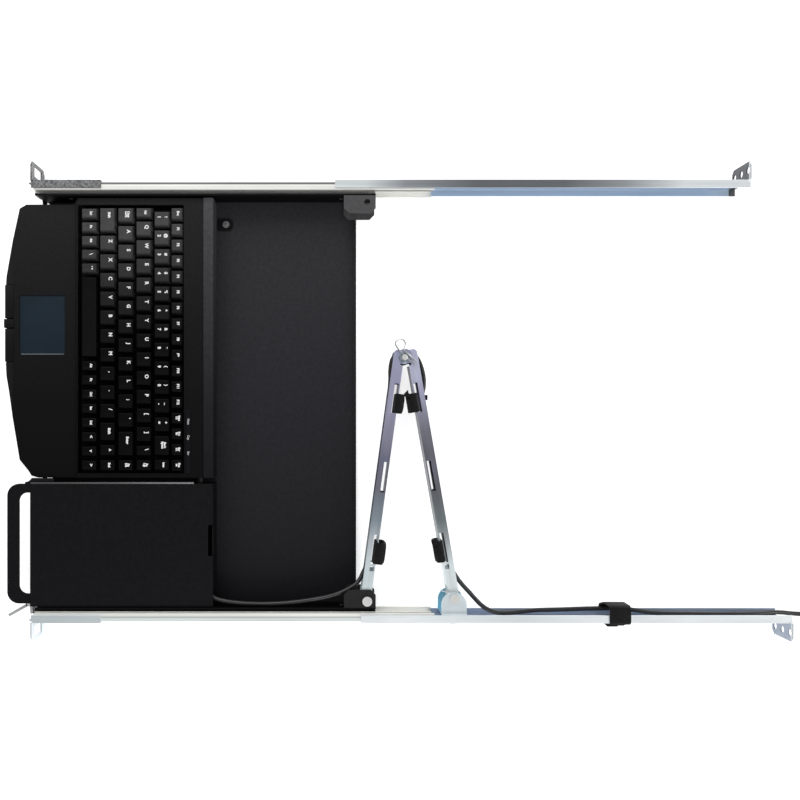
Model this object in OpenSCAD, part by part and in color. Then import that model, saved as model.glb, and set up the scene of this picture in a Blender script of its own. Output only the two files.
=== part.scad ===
// Pull-out keyboard drawer for a 19-inch equipment rack, drawn closed.
// +X is the user's right, +Y runs to the back of the rack, +Z is up.
// The sizes below count Y from the face of the front ears and Z from their lower edge;
// every node is then moved so that the origin is at the middle of the footprint.

/* [Rack] */
// Width over the rack ears
rack_w = 482.6; // [475:0.1:490]
// Height of the rack ears, just under one rack unit
ear_h = 43.7; // [42:0.1:44.4]
// Distance of the rack holes from the outer edge of an ear
hole_inset = 8.75; // [7.8:0.05:9.5]
// Pitch of the rack holes
hole_pitch = 15.875; // [15:0.005:16.5]
// Radius of the holes in the rear ears
hole_r = 3.5; // [3:0.1:4.2]
// Depth to the face of the left rear ear
depth_left = 722; // [700:1:745]
// Depth to the face of the right rear ear
depth_right = 764; // [755:1:790]
// Thickness of the bracket sheet
bracket_t = 1.5; // [1.2:0.1:2]
// Length of the front brackets
front_len = 70; // [60:1:80]
// Width of the bracket flanges above and below the slide
flange_w = 8; // [6:0.1:9]
// Where the left rear bracket begins
rear_start_left = 305; // [290:1:320]
// Where the right rear bracket begins
rear_start_right = 331; // [320:1:340]

/* [Slides] */
// Thickness of a slide across its three members
slide_t = 12; // [11.6:0.1:13]
// Height of a slide
slide_h = 36; // [34:0.5:37]
// Sheet thickness of the slide members
slide_sheet = 1.1; // [0.9:0.1:1.2]
// Diameter of the bearing balls
ball_d = 2.9; // [2.6:0.1:3]
// Front end of the outer members
outer_front = 2; // [1.8:0.1:4]
// Length of the outer members
outer_len = 403; // [395:1:410]
// Length of the inner members on the tray
inner_len = 345; // [340:1:350]
// How far the drawer pulls out
travel = 350; // [300:5:355]

/* [Tray] */
// Room at each side for slide and ear, from the tray to the outer edge of the ear
side_room = 32.3; // [32.1:0.1:32.6]
// Height of the tray floor above the lower edge of the ears
floor_z = 3; // [2:0.1:4]
// Sheet thickness of the tray
tray_t = 1.5; // [1.2:0.1:1.8]
// Height of the side walls
wall_h = 35; // [33:0.5:36]
// Front end of the side walls
wall_front = 5; // [4.6:0.1:8]
// Rear end of the side walls
wall_rear = 346; // [344:1:352]
// Rear edge of the floor
floor_rear = 327; // [324:0.5:328]
// Height of the fold along the rear edge of the floor
rear_fold_h = 6; // [4:0.5:8]

/* [Mouse platform] */
// Gap between the keyboard and the platform
platform_gap = 6; // [5:0.5:8]
// Front edge of the platform
platform_front = -2.5; // [-4:0.1:-1]
// Rear edge of the platform
platform_rear = 182; // [176:0.5:186]
// Height of its top face above the lower edge of the ears
platform_z = 36; // [35:0.5:37]
// Reach of the pull handle in front of the platform
handle_reach = 23.6; // [22:0.1:26]
// Depth of the handle bar
handle_bar = 12; // [10:0.1:13]
// How far the handle ends before the platform's right edge
handle_inset = 2.8; // [2.8:0.1:10]
// Thickness of the handle plate
handle_t = 3; // [2.5:0.1:3.2]

/* [Keyboard] */
// Width of the keyboard
kb_w = 283; // [281:0.5:284]
// Gap between the keyboard and the tray's left wall
kb_side_gap = 1.5; // [1:0.1:3]
// Rear edge of the keyboard
kb_rear = 182; // [180:0.5:183]
// Furthest point of the palm rest ahead of the ears
kb_front = 32.6; // [31:0.1:35]
// Height of the rubber feet under the keyboard
kb_foot_h = 1; // [0.8:0.1:1.5]
// Height of the base shell
base_h = 9.5; // [9:0.1:10.5]
// Height of the palm rest above the seam of the shells
palm_h = 15; // [14:0.5:15.5]
// Height of the key deck above the seam of the shells
deck_h = 18; // [17.5:0.5:18.5]
// Wall thickness of the shells
shell_t = 2.5; // [2:0.1:3]
// Pitch of the keys along a row
key_pitch = 18.85; // [18.5:0.05:19]
// Pitch of the rows
row_pitch = 18.3; // [18:0.05:18.6]
// Gap between neighbouring keys at their foot
key_gap = 1.5; // [1.2:0.1:2]
// Height of a key cap
cap_h = 8.5; // [8:0.1:9]
// Travel of a key
key_travel = 3; // [2:0.1:3]
// Width of the touch pad
pad_w = 60; // [56:0.5:62]
// Depth of the touch pad
pad_d = 46; // [42:0.5:47]
// Travel of a click button
click_travel = 1; // [0.6:0.1:1.5]

/* [Cable arm] */
// Distance between the two pivots of an arm
arm_len = 248.2; // [246:0.1:250]
// Width of the arm channel
arm_w = 10.6; // [10.4:0.1:11.2]
// Sheet thickness of the arms
arm_t = 1.2; // [1:0.1:1.3]
// Height of the front arm
arm_h = 29.9; // [29:0.1:30]
// Radius of the pivot pins
pin_r = 3; // [2.5:0.1:3.2]
// Tray pivot, inside the tray's right wall
pivot_inset = 6.5; // [6.5:0.1:7]
// Tray pivot, ahead of the rear end of the walls
pivot_end = 8.6; // [8:0.1:9.5]
// How much nearer to the middle the rail pivot is
pivot_step = 2.2; // [1:0.1:3]
// Distance of the rail pivot behind the outer slide member
pivot_behind = 20.2; // [18:0.1:24]

/* [Lead] */
// Diameter of the lead
lead_d = 4.6; // [4.3:0.1:4.8]
// Turns in each layer of the stored coil
coil_turns = 2; // [2:1:3]
// Largest radius of the stored coil, to the middle of the lead
coil_r = 30; // [28:0.5:32]

/* [Hidden] */

$fn = 32;
overrun = 1;
zinc = [0.78, 0.81, 0.84];
black_steel = [0.07, 0.07, 0.08];
black_plastic = [0.09, 0.09, 0.10];

// Box between two opposite corners
module span(lo, hi) { translate(lo) cube(hi - lo); }

// Rectangle between two opposite corners
module rect(lo, hi) { translate(lo) square(hi - lo); }

// A section drawn as X across and Z up, run from one depth to another
module along_y(y0, y1) {
    translate([0, y1, 0]) rotate([90, 0, 0]) linear_extrude(height = y1 - y0) children();
}

// A section drawn as Y across and Z up, run from one side to another
module along_x(x0, x1) {
    translate([x0, 0, 0]) rotate([90, 0, 90]) linear_extrude(height = x1 - x0) children();
}

// A round bar or bore along X
module bar_x(r, x0, x1, y, z) {
    translate([x0, y, z]) rotate([0, 90, 0]) cylinder(r = r, h = x1 - x0);
}

// A round bar or bore along Z
module bar_z(r, z0, z1, x, y) { translate([x, y, z0]) cylinder(r = r, h = z1 - z0); }

// Parts are drawn on the right-hand side and mirrored for the left
module on_side(side) {
    if (side < 0) mirror([1, 0, 0]) children();
    else children();
}

// Derived levels and lines of the rails
mid_z = ear_h / 2;
ear_x = rack_w / 2;
hole_x = ear_x - hole_inset;
tray_x = ear_x - side_room;
slide_x = tray_x + slide_t;
run_gap = 0.1;
play = 0.05;
outer_rear = outer_front + outer_len;
inner_front = wall_rear - inner_len;

// Heights of the three nested slide members, each halved about the middle of the slide
race = ball_d + 2 * play;
outer_half = slide_h / 2;
middle_half = outer_half - slide_sheet - race;
inner_half = middle_half - slide_sheet - race;

// Places of the three members across the slide
member_gap = 0.8;
outer_reach = 8.2;
middle_reach = 7.2;
lip_drop = 1.4;
outer_lip_x = slide_x - outer_reach;
middle_web_x = slide_x - slide_sheet - member_gap;
middle_lip_x = middle_web_x - middle_reach;
inner_tip_x = middle_web_x - slide_sheet - member_gap;

// Bearings: a thin folded cage with a row of balls above and below
cage_t = 0.4;
cage_half_t = 0.3;
cage_reach = 1.9;
ball_pitch = 36;
outer_cage_len = 200;
inner_cage_len = 150;
cage_y = outer_front + 98;
cage_end = 10;

// Fasteners of the rails
rivet_r = 2;
rivet_head_r = 3.6;
rivet_head_h = 1.2;
rivet_y_shares = [0.3, 0.82];
screw_r = 2.4;
screw_head_r = 4.4;
screw_head_h = 2;
screw_back = [15, 55];
slot_lead = 8;
slot_len = 240;
slot_play = 0.4;

// Rack ears
window_w = 10;
window_h = 24;
ear_corner = 4;
tab_len = 5.5;
tab_h = 16;
ear_holes = [-1, 0, 1];

// The row's origin is the middle of the footprint, without the free lead
scroll_proud = 0.6;
front_most = kb_front + scroll_proud;
mid_y = (depth_right - front_most) / 2;
module placed() { translate([0, -mid_y, 0]) children(); }

// A C-shaped section of sheet: web outside, a flange above and below
module c_section(web_x, reach, half, t) {
    rect([web_x - t, mid_z - half], [web_x, mid_z + half]);
    for (s = [-1, 1])
        rect([web_x - reach, mid_z + (s > 0 ? half - t : -half)],
             [web_x, mid_z + (s > 0 ? half : t - half)]);
}

// Outer slide member, fixed to the rack brackets
module outer_slide(side) {
    color(zinc) on_side(side) difference() {
        along_y(outer_front, outer_rear) {
            c_section(slide_x, outer_reach, outer_half, slide_sheet);
            for (s = [-1, 1])
                rect([outer_lip_x, mid_z + (s > 0 ? outer_half - slide_sheet - lip_drop : -outer_half)],
                     [outer_lip_x + slide_sheet,
                      mid_z + (s > 0 ? outer_half : slide_sheet + lip_drop - outer_half)]);
        }
        for (y = rivet_y_shares * front_len)
            bar_x(rivet_r + play, slide_x - slide_sheet - overrun, slide_x + overrun, y, mid_z);
        for (back = screw_back)
            bar_x(screw_r + play, slide_x - slide_sheet - overrun, slide_x + overrun,
                  outer_rear - back, mid_z);
    }
}

// Front bracket: a short channel round the slide with the rack ear folded out of it
module front_bracket(side) {
    color(zinc) on_side(side) difference() {
        union() {
            along_y(0, front_len)
                c_section(slide_x + bracket_t, flange_w, outer_half + bracket_t, bracket_t);
            rack_ear(slide_x, 0);
            span([slide_x, -tab_len, mid_z - tab_h / 2], [slide_x + bracket_t, 0, mid_z + tab_h / 2]);
        }
        span([hole_x - window_w / 2, -overrun, mid_z - window_h / 2],
             [hole_x + window_w / 2, bracket_t + overrun, mid_z + window_h / 2]);
        for (y = rivet_y_shares * front_len)
            bar_x(rivet_r + play, slide_x - overrun, slide_x + bracket_t + overrun, y, mid_z);
    }
}

// Flat ear with clipped outer corners; y is its front face
module rack_ear(from_x, y) {
    along_y(y, y + bracket_t)
        polygon([[from_x, 0], [ear_x - ear_corner, 0], [ear_x, ear_corner],
                 [ear_x, ear_h - ear_corner], [ear_x - ear_corner, ear_h], [from_x, ear_h]]);
}

// Rear bracket: a long channel that slides over the outer member to suit the rack's depth
module rear_bracket(side, y0, y1) {
    web_x = slide_x + run_gap + bracket_t;
    color(zinc) on_side(side) difference() {
        union() {
            along_y(y0, y1)
                c_section(web_x, flange_w, outer_half + run_gap + bracket_t, bracket_t);
            rack_ear(web_x - bracket_t, y1 - bracket_t);
        }
        for (n = ear_holes) translate([hole_x, y1 + overrun, mid_z + n * hole_pitch])
            rotate([90, 0, 0]) cylinder(r = hole_r, h = bracket_t + 2 * overrun);
        for (end = [0, slot_len])
            bar_x(screw_r + slot_play, web_x - bracket_t - overrun, web_x + overrun,
                  y0 + slot_lead + screw_r + end, mid_z);
        span([web_x - bracket_t - overrun, y0 + slot_lead + screw_r, mid_z - screw_r - slot_play],
             [web_x + overrun, y0 + slot_lead + screw_r + slot_len, mid_z + screw_r + slot_play]);
        if (side > 0) for (s = [-1, 1])
            bar_x(screw_r + play, web_x - bracket_t - overrun, web_x + overrun,
                  rail_pivot[1], mid_z + s * bolt_rise);
    }
}

// Rivets through each front bracket and outer slide, flush inside the slide
module front_rivets() {
    color(zinc) for (side = [-1, 1]) on_side(side) for (y = rivet_y_shares * front_len) {
        bar_x(rivet_r, slide_x - slide_sheet, slide_x + bracket_t, y, mid_z);
        bar_x(rivet_head_r, slide_x + bracket_t, slide_x + bracket_t + rivet_head_h, y, mid_z);
    }
}

// Screws that hold the rear brackets at the rack's depth, and those of the arm bracket
module rail_screws() {
    head_x = slide_x + run_gap + bracket_t + play;
    color(zinc) {
        for (side = [-1, 1]) on_side(side) for (back = screw_back) {
            bar_x(screw_r, slide_x - slide_sheet, head_x, outer_rear - back, mid_z);
            bar_x(screw_head_r, head_x, head_x + screw_head_h, outer_rear - back, mid_z);
        }
        for (s = [-1, 1]) {
            bar_x(screw_r, arm_web_x - bracket_t, head_x - play, rail_pivot[1], mid_z + s * bolt_rise);
            for (x = [arm_web_x - bracket_t - screw_head_h, head_x - play])
                bar_x(screw_head_r, x, x + screw_head_h, rail_pivot[1], mid_z + s * bolt_rise);
        }
    }
}

// Middle slide member, between the outer and the inner one
module middle_slide(side) {
    color(zinc) on_side(side) along_y(outer_front + lip_drop, outer_rear - 2 * lip_drop)
        c_section(middle_web_x, middle_reach, middle_half, slide_sheet);
}

// One bearing: folded cage strip with the balls in its holes
module bearing(ball_x, cage_x, ball_rise, y0, len) {
    balls = [for (y = [y0 + cage_end : ball_pitch : y0 + len - cage_end]) y];
    difference() {
        along_y(y0, y0 + len) {
            rect([cage_x - cage_t, mid_z - ball_rise - cage_half_t],
                 [cage_x, mid_z + ball_rise + cage_half_t]);
            for (s = [-1, 1])
                rect([ball_x - cage_reach, mid_z + s * ball_rise - cage_half_t],
                     [cage_x, mid_z + s * ball_rise + cage_half_t]);
        }
        for (y = balls)
            bar_z(ball_d / 2 + play, mid_z - ball_rise - overrun, mid_z + ball_rise + overrun, ball_x, y);
    }
    for (y = balls, s = [-1, 1])
        translate([ball_x, y, mid_z + s * ball_rise]) sphere(d = ball_d);
}

module outer_bearings() {
    color("silver") for (side = [-1, 1]) on_side(side)
        bearing((outer_lip_x + slide_sheet + middle_web_x) / 2, middle_web_x + member_gap - run_gap * 2,
                middle_half + race / 2, cage_y, outer_cage_len);
}

module inner_bearings() {
    color("silver") for (side = [-1, 1]) on_side(side)
        bearing((middle_lip_x + inner_tip_x) / 2, inner_tip_x + member_gap - run_gap * 2,
                inner_half + race / 2, cage_y, inner_cage_len);
}

// Inner slide member, screwed to the side wall of the tray
module inner_slide(side) {
    color(zinc) on_side(side) difference() {
        along_y(inner_front, wall_rear) {
            rect([tray_x, mid_z - inner_half], [tray_x + slide_sheet, mid_z + inner_half]);
            for (s = [-1, 1])
                rect([tray_x, mid_z + (s > 0 ? inner_half - slide_sheet : -inner_half)],
                     [inner_tip_x, mid_z + (s > 0 ? inner_half : slide_sheet - inner_half)]);
        }
        for (y = tray_screw_y_shares * inner_len)
            bar_x(tray_screw_r + play, tray_x - overrun, tray_x + slide_sheet + overrun,
                  inner_front + y, mid_z);
    }
}

// Levels and lines of the tray and of what stands on it
inner_wall_x = tray_x - tray_t;
floor_top = floor_z + tray_t;
wall_top = floor_z + wall_h;
floor_front = 11;
tray_screw_r = 1.9;
tray_screw_head_r = 3.6;
tray_screw_head_h = 1.6;
tray_nut_h = 0.4;
tray_screw_y_shares = [0.1, 0.5, 0.9];
fold_end_gap = 1;

// Tray: a shallow pan of folded sheet, open at the front and above
module tray_pan() {
    color(black_steel) difference() {
        union() {
            translate([0, 0, floor_z]) linear_extrude(height = tray_t)
                polygon([[-tray_x, wall_front], [floor_front - wall_front - tray_x, floor_front],
                         [tray_x - floor_front + wall_front, floor_front], [tray_x, wall_front],
                         [tray_x, floor_rear], [-tray_x, floor_rear]]);
            for (side = [-1, 1]) on_side(side)
                span([inner_wall_x, wall_front, floor_z], [tray_x, wall_rear, wall_top]);
            span([lug_w + fold_end_gap - inner_wall_x, floor_rear - tray_t, floor_z],
                 [inner_wall_x - lug_w - fold_end_gap, floor_rear, floor_top + rear_fold_h]);
        }
        for (side = [-1, 1]) on_side(side) for (y = tray_screw_y_shares * inner_len)
            bar_x(tray_screw_r + play, inner_wall_x - overrun, tray_x + overrun, inner_front + y, mid_z);
        bar_z(tray_screw_r + play, floor_z - overrun, floor_top + overrun, clamp_x, clamp_y);
    }
}

// Low-headed screws from the slides into the tray, and the one in the keyboard clamp
module tray_screws() {
    color(zinc) {
        for (side = [-1, 1]) on_side(side) for (y = tray_screw_y_shares * inner_len) {
            bar_x(tray_screw_r, inner_wall_x - tray_nut_h, tray_x + slide_sheet, inner_front + y, mid_z);
            bar_x(tray_screw_head_r, tray_x + slide_sheet, tray_x + slide_sheet + tray_screw_head_h,
                  inner_front + y, mid_z);
        }
        bar_z(tray_screw_r, floor_z, floor_top + bracket_t, clamp_x, clamp_y);
        bar_z(tray_screw_head_r, floor_top + bracket_t, floor_top + bracket_t + tray_screw_head_h,
              clamp_x, clamp_y);
    }
}

// Pivots of the cable arm and the heights that follow from the tray
pivot_x = inner_wall_x - pivot_inset;
pivot_y = wall_rear - pivot_end;
tray_pivot = [pivot_x, pivot_y];
rail_pivot = [pivot_x - pivot_step, outer_rear + pivot_behind];
arm_gap = 0.5;
lug_lift = 0.3;
lug_z = floor_top + lug_lift;
arm_z = lug_z + bracket_t + arm_gap;
lug_plate_z = arm_z + arm_h + arm_gap;
pin_head_r = 4.9;
pin_head_h = 1.8;
lug_w = 18;
lug_front = 32;
lug_web_len = 12;
lug_corner = 5;
arm_web_x = slide_x + run_gap + bracket_t - flange_w;
bolt_rise = 10;

// Lugs at the tray's rear corners; the right one holds the cable arm
module rear_lugs() {
    color(black_steel) for (side = [-1, 1]) on_side(side) difference() {
        union() {
            for (z = [lug_z, lug_plate_z]) translate([0, 0, z]) linear_extrude(height = bracket_t)
                polygon([[inner_wall_x, wall_rear - lug_front], [inner_wall_x, wall_rear],
                         [inner_wall_x - lug_w + lug_corner, wall_rear],
                         [inner_wall_x - lug_w, wall_rear - lug_corner],
                         [inner_wall_x - lug_w, wall_rear - lug_front + lug_corner],
                         [inner_wall_x - lug_w + lug_corner, wall_rear - lug_front]]);
            span([inner_wall_x - bracket_t, wall_rear - lug_front, lug_z],
                 [inner_wall_x, wall_rear - lug_front + lug_web_len, lug_plate_z + bracket_t]);
        }
        bar_z(pin_r + play, lug_z - overrun, lug_plate_z + bracket_t + overrun, pivot_x, pivot_y);
    }
}

// A riveted pin: shank between two flat heads
module headed_pin(r, head_r, head_h, z0, z1, at) {
    bar_z(r, z0, z1, at[0], at[1]);
    for (z = [z0 - head_h, z1]) bar_z(head_r, z, z + head_h, at[0], at[1]);
}

// Pins that turn in the tray: the cable arm's and the release lever's
module drawer_pins() {
    color("gainsboro") {
        headed_pin(pin_r, pin_head_r, pin_head_h, lug_z, lug_plate_z + bracket_t, tray_pivot);
        headed_pin(latch_pin_r, latch_pin_head_r, latch_pin_head_h, latch_z, latch_top + bracket_t,
                   latch_pivot);
    }
}

// Bracket on the right rear rail that holds the other end of the cable arm
bracket_front = 13.2;
bracket_back = 12.3;
bracket_reach = 6.8;
module arm_bracket() {
    arch_r = (bracket_front + bracket_back) / 2;
    arch_y = rail_pivot[1] + (bracket_back - bracket_front) / 2;
    color(zinc) difference() {
        union() {
            for (z = [lug_z, lug_plate_z]) {
                bar_z(arch_r, z, z + bracket_t, rail_pivot[0] - bracket_reach + arch_r, arch_y);
                span([rail_pivot[0] - bracket_reach + arch_r, arch_y - arch_r, z],
                     [arm_web_x, arch_y + arch_r, z + bracket_t]);
            }
            span([arm_web_x - bracket_t, arch_y - arch_r, mid_z - outer_half - bracket_t],
                 [arm_web_x, arch_y + arch_r, mid_z + outer_half + bracket_t]);
        }
        bar_z(pin_r + play, lug_z - overrun, lug_plate_z + bracket_t + overrun,
              rail_pivot[0], rail_pivot[1]);
        for (s = [-1, 1])
            bar_x(screw_r + play, arm_web_x - bracket_t - overrun, arm_web_x + overrun,
                  rail_pivot[1], mid_z + s * bolt_rise);
    }
}

// Pin of the rail pivot, drawn only in the two plates so that the arm's end is free between them
module rail_pivot_pin() {
    color("gainsboro") for (z = [lug_z, lug_plate_z]) {
        head_z = z > mid_z ? z + bracket_t : z - pin_head_h;
        bar_z(pin_r, z, z + bracket_t, rail_pivot[0], rail_pivot[1]);
        bar_z(pin_head_r, head_z, head_z + pin_head_h, rail_pivot[0], rail_pivot[1]);
    }
}

// Release lever at the front right corner, turning between two ears on the tray's wall
latch_from_wall = 3;
latch_pivot = [inner_wall_x - latch_from_wall, -4];
latch_pin_r = 2;
latch_pin_head_r = 3.4;
latch_pin_head_h = 1.2;
latch_z = 12;
latch_top = 28.4;
latch_ear_in = 8;
latch_ear_x = inner_wall_x - latch_ear_in;
latch_ear_front = -8.5;
latch_web_y = 1.5;
latch_rear = 18;
lever_t = 3;
lever_hub_r = 4;
lever_tip = latch_pivot + [12.8, -22.7];
lever_hook = latch_pivot + [11, 0.8];
lever_gap = 0.3;
module latch_bracket() {
    color(black_steel) difference() {
        union() {
            for (z = [latch_z, latch_top])
                span([latch_ear_x, latch_ear_front, z], [inner_wall_x, latch_rear, z + bracket_t]);
            span([inner_wall_x - bracket_t, latch_web_y, latch_z],
                 [inner_wall_x, latch_rear, latch_top + bracket_t]);
        }
        bar_z(latch_pin_r + play, latch_z - overrun, latch_top + bracket_t + overrun,
              latch_pivot[0], latch_pivot[1]);
    }
}

// Flat bar in plan between two points, as wide as the lever is thick
module plan_bar(from, to, w) {
    reach = to - from;
    translate(from) rotate(atan2(reach[1], reach[0]))
        translate([0, -w / 2]) square([norm(reach), w]);
}

module release_lever() {
    z0 = latch_z + bracket_t + lever_gap;
    color(zinc) translate([0, 0, z0]) linear_extrude(height = latch_top - lever_gap - z0)
        difference() {
            union() {
                translate(latch_pivot) circle(r = lever_hub_r);
                plan_bar(latch_pivot, lever_tip, lever_t);
                plan_bar(latch_pivot, lever_hook, lever_t);
            }
            translate(latch_pivot) circle(r = latch_pin_r + play);
        }
}

// Mouse platform: a flat plate folded down on four sides, beside the keyboard
kb_left = kb_side_gap - inner_wall_x;
kb_right = kb_left + kb_w;
platform_right = inner_wall_x - 0.7;
plate_z = platform_z - tray_t;
platform_x = kb_left + kb_w + platform_gap;
platform_w = platform_right - platform_x;
front_fold_inset = 10.8;
front_fold_x = platform_right - front_fold_inset;
front_fold_z = 6;
side_fold_y = 22;
lead_port_ahead = [24, 10];
lead_port_y = [platform_rear - lead_port_ahead[0], platform_rear - lead_port_ahead[1]];
lead_port_h = 16;
rear_port_inset = 16.8;
rear_port_x = platform_right - rear_port_inset;
rear_notch_shares = [0.335, 0.587];
rear_notch_x = [for (share = rear_notch_shares) platform_x + share * platform_w];
rear_notch_d = 5;
rear_notch_h = 4;
handle_x = platform_x;
handle_w = platform_right - handle_inset - handle_x;
handle_front = platform_front - handle_reach;
handle_leg_left = 9;
handle_leg_right = 10;
handle_outer_r = 12;
handle_inner_r = 8.5;
tongue_len = 20;
tongue_play = 0.2;
module mouse_platform() {
    color(black_steel) difference() {
        union() {
            span([platform_x, platform_front, plate_z], [platform_right, platform_rear, platform_z]);
            span([platform_x, platform_front, floor_top],
                 [platform_x + tray_t, platform_rear, platform_z]);
            span([platform_x, platform_rear - tray_t, floor_top],
                 [rear_port_x, platform_rear, platform_z]);
            span([platform_right - tray_t, side_fold_y, floor_top],
                 [platform_right, platform_rear, platform_z]);
            span([platform_x, platform_front, front_fold_z],
                 [front_fold_x, platform_front + tray_t, platform_z]);
        }
        span([platform_x - overrun, lead_port_y[0], floor_top - overrun],
             [platform_x + tray_t + overrun, lead_port_y[1], floor_top + lead_port_h]);
        span([rear_notch_x[0], platform_rear - rear_notch_d, platform_z - rear_notch_h],
             [rear_notch_x[1], platform_rear + overrun, platform_z + overrun]);
        for (x = [[platform_x + tray_t, handle_x + handle_leg_left + tongue_play],
                  [handle_x + handle_w - handle_leg_right - tongue_play, front_fold_x + overrun]])
            span([x[0], platform_front - overrun, plate_z - handle_t - tongue_play],
                 [x[1], platform_front + tray_t + overrun, plate_z]);
    }
}

// Plan of a D: square at the back, with round front corners
module d_plan(lo, hi, r) {
    rect([lo[0], lo[1] + r], hi);
    rect([lo[0] + r, lo[1]], [hi[0] - r, hi[1]]);
    for (x = [lo[0] + r, hi[0] - r]) translate([x, lo[1] + r]) circle(r = r);
}

// Pull handle: a flat D-shaped plate whose two tongues are welded under the platform
module pull_handle() {
    handle_right = handle_x + handle_w;
    opening = [handle_x + handle_leg_left, handle_right - handle_leg_right];
    color(black_steel) translate([0, 0, plate_z - handle_t]) linear_extrude(height = handle_t) {
        difference() {
            d_plan([handle_x, handle_front], [handle_right, platform_front], handle_outer_r);
            d_plan([opening[0], handle_front + handle_bar], [opening[1], platform_front + overrun],
                   handle_inner_r);
        }
        rect([platform_x + tray_t + tongue_play, platform_front],
             [opening[0], platform_front + tongue_len]);
        rect([opening[1], platform_front],
             [handle_right - tongue_play, platform_front + tongue_len]);
    }
}

// Keyboard levels and plan
base_z = floor_top + kb_foot_h;
seam_z = base_z + base_h;
palm_z = seam_z + palm_h;
deck_z = seam_z + deck_h;
deck_front = 45;
deck_slope = 4;
side_step = 6;
ridge_d = 11;
ridge_h = 1.5;
palm_x = kb_left + side_step;
palm_w = kb_right - palm_x;
palm_x_shares = [0, 0.0144, 0.292, 0.578, 0.686, 0.935, 0.975, 0.993, 1];
palm_y_shares = [0.245, 0.46, 0.966, 1, 0.813, 0.46, 0.184, 0.09, -0.12];
nose_z = 5;
nose_round = [3, 10.6];
nose_drop = 4;
cavity_front = 5;
cavity_ends = [15, 22];
palm_cavity = [[palm_x + cavity_ends[0], -12], [kb_right - cavity_ends[1], 6]];
base_floor = 2;
rib_t = 2;
rib_y_shares = [0.1, 0.5, 0.9];
board_t = 1.6;
mat_t = 1.2;
dome_r = 3;
dome_h = 0.8;
dome_sides = 8;
rib_h = 1.5;
board_z = base_z + base_floor + rib_h;
mat_top = board_z + board_t + mat_t;
guide_t = 1.5;
guide_z = seam_z + 3;
guide_rim = 2;
stem_w = 4.6;
stem_play = 0.2;
cap_rise = 3.5;
cap_z = deck_z + cap_rise - cap_h;
stem_end_gap = 0.4;
stem_z = mat_top + dome_h + key_travel + stem_end_gap;
board_gap = 0.5;

// Well of the keys, and the rows of keys as shares of the key pitch
well_left = kb_left + 7;
well_right = kb_right - 4.5;
well_rear = kb_rear - 30;
row_start = well_left + key_gap;
first_row_y = deck_front + 12;
function_row_d = 12.6;
function_row_step = 15;
bottom_shares = [0.735, 0.735, 0.735, 0.735, 0.735, 4.48, 0.761, 0.761, 0.761, 0.761, 0.761,
                 0.761, 0.761, 0.761];
lower_shares = [1.475, 1, 1, 1, 1, 1, 1, 1, 1, 1, 1, 1.2, 0.81, 0.8];
home_shares = [0.96, 1, 1, 1, 1, 1, 1, 1, 1, 1, 1, 1, 1.528, 0.8];
upper_shares = [0.72, 1, 1, 1, 1, 1, 1, 1, 1, 1, 1, 1, 1, 0.764, 0.8];
number_shares = [1, 1, 1, 1, 1, 1, 1, 1, 1, 1, 1, 1, 1.268, 0.8];
function_shares = [for (i = [0:16]) 0.842];
space_index = 5;
number_inset = 3.7;
bottom_inset = 0.5;
cap_inset = [2, 1.4];

// Each row: cell widths, where it starts, its middle and its depth
key_d = row_pitch - key_gap;
rows = [[bottom_shares, row_start + bottom_inset, first_row_y, key_d],
        [lower_shares, row_start, first_row_y + row_pitch, key_d],
        [home_shares, row_start, first_row_y + 2 * row_pitch, key_d],
        [upper_shares, row_start, first_row_y + 3 * row_pitch, key_d],
        [number_shares, row_start + number_inset, first_row_y + 4 * row_pitch, key_d],
        [function_shares, row_start, first_row_y + 4 * row_pitch + function_row_step, function_row_d]];
function sum_to(shares, n) = n <= 0 ? 0 : shares[n - 1] + sum_to(shares, n - 1);
function key_x(row, i) = row[1] + key_pitch * (sum_to(row[0], i) + row[0][i] / 2);
function key_w(row, i) = key_pitch * row[0][i] - key_gap;

// Outline of the keyboard seen from above
module keyboard_plan() {
    polygon(concat([[kb_right, kb_rear], [kb_left, kb_rear], [kb_left, deck_front],
                    [palm_x, deck_front - side_step]],
                   [for (i = [0:len(palm_x_shares) - 1])
                       [palm_x + palm_x_shares[i] * palm_w, -palm_y_shares[i] * kb_front]]));
}

// Hollow of a shell between two levels, wider behind the palm rest than under it
module keyboard_hollow(z0, palm_top, deck_top) {
    span([kb_left + shell_t, deck_front + rib_t, z0],
         [kb_right - shell_t, kb_rear - shell_t, deck_top]);
    span([palm_x + shell_t, cavity_front, z0], [kb_right - shell_t, deck_front + rib_t, palm_top]);
    span([palm_cavity[0][0], palm_cavity[0][1], z0], [palm_cavity[1][0], palm_cavity[1][1], palm_top]);
}

module keyboard_base() {
    color(black_plastic) {
        difference() {
            translate([0, 0, base_z]) linear_extrude(height = base_h) keyboard_plan();
            keyboard_hollow(base_z + base_floor, seam_z + overrun, seam_z + overrun);
        }
        for (share = rib_y_shares)
            span([palm_x + shell_t, deck_front + share * (well_rear - deck_front), base_z + base_floor],
                 [well_right, deck_front + share * (well_rear - deck_front) + rib_t, board_z]);
    }
}

// Section of the upper shell from the front edge to the raised strip at the back
module keyboard_section() {
    polygon([[-kb_front, seam_z], [-kb_front, seam_z + nose_z],
             [nose_round[0] - kb_front, palm_z - nose_drop], [nose_round[1] - kb_front, palm_z],
             [deck_front - deck_slope, palm_z], [deck_front, deck_z], [kb_rear - ridge_d, deck_z],
             [kb_rear - ridge_d + ridge_h, deck_z + ridge_h], [kb_rear, deck_z + ridge_h],
             [kb_rear, seam_z]]);
}

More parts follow.
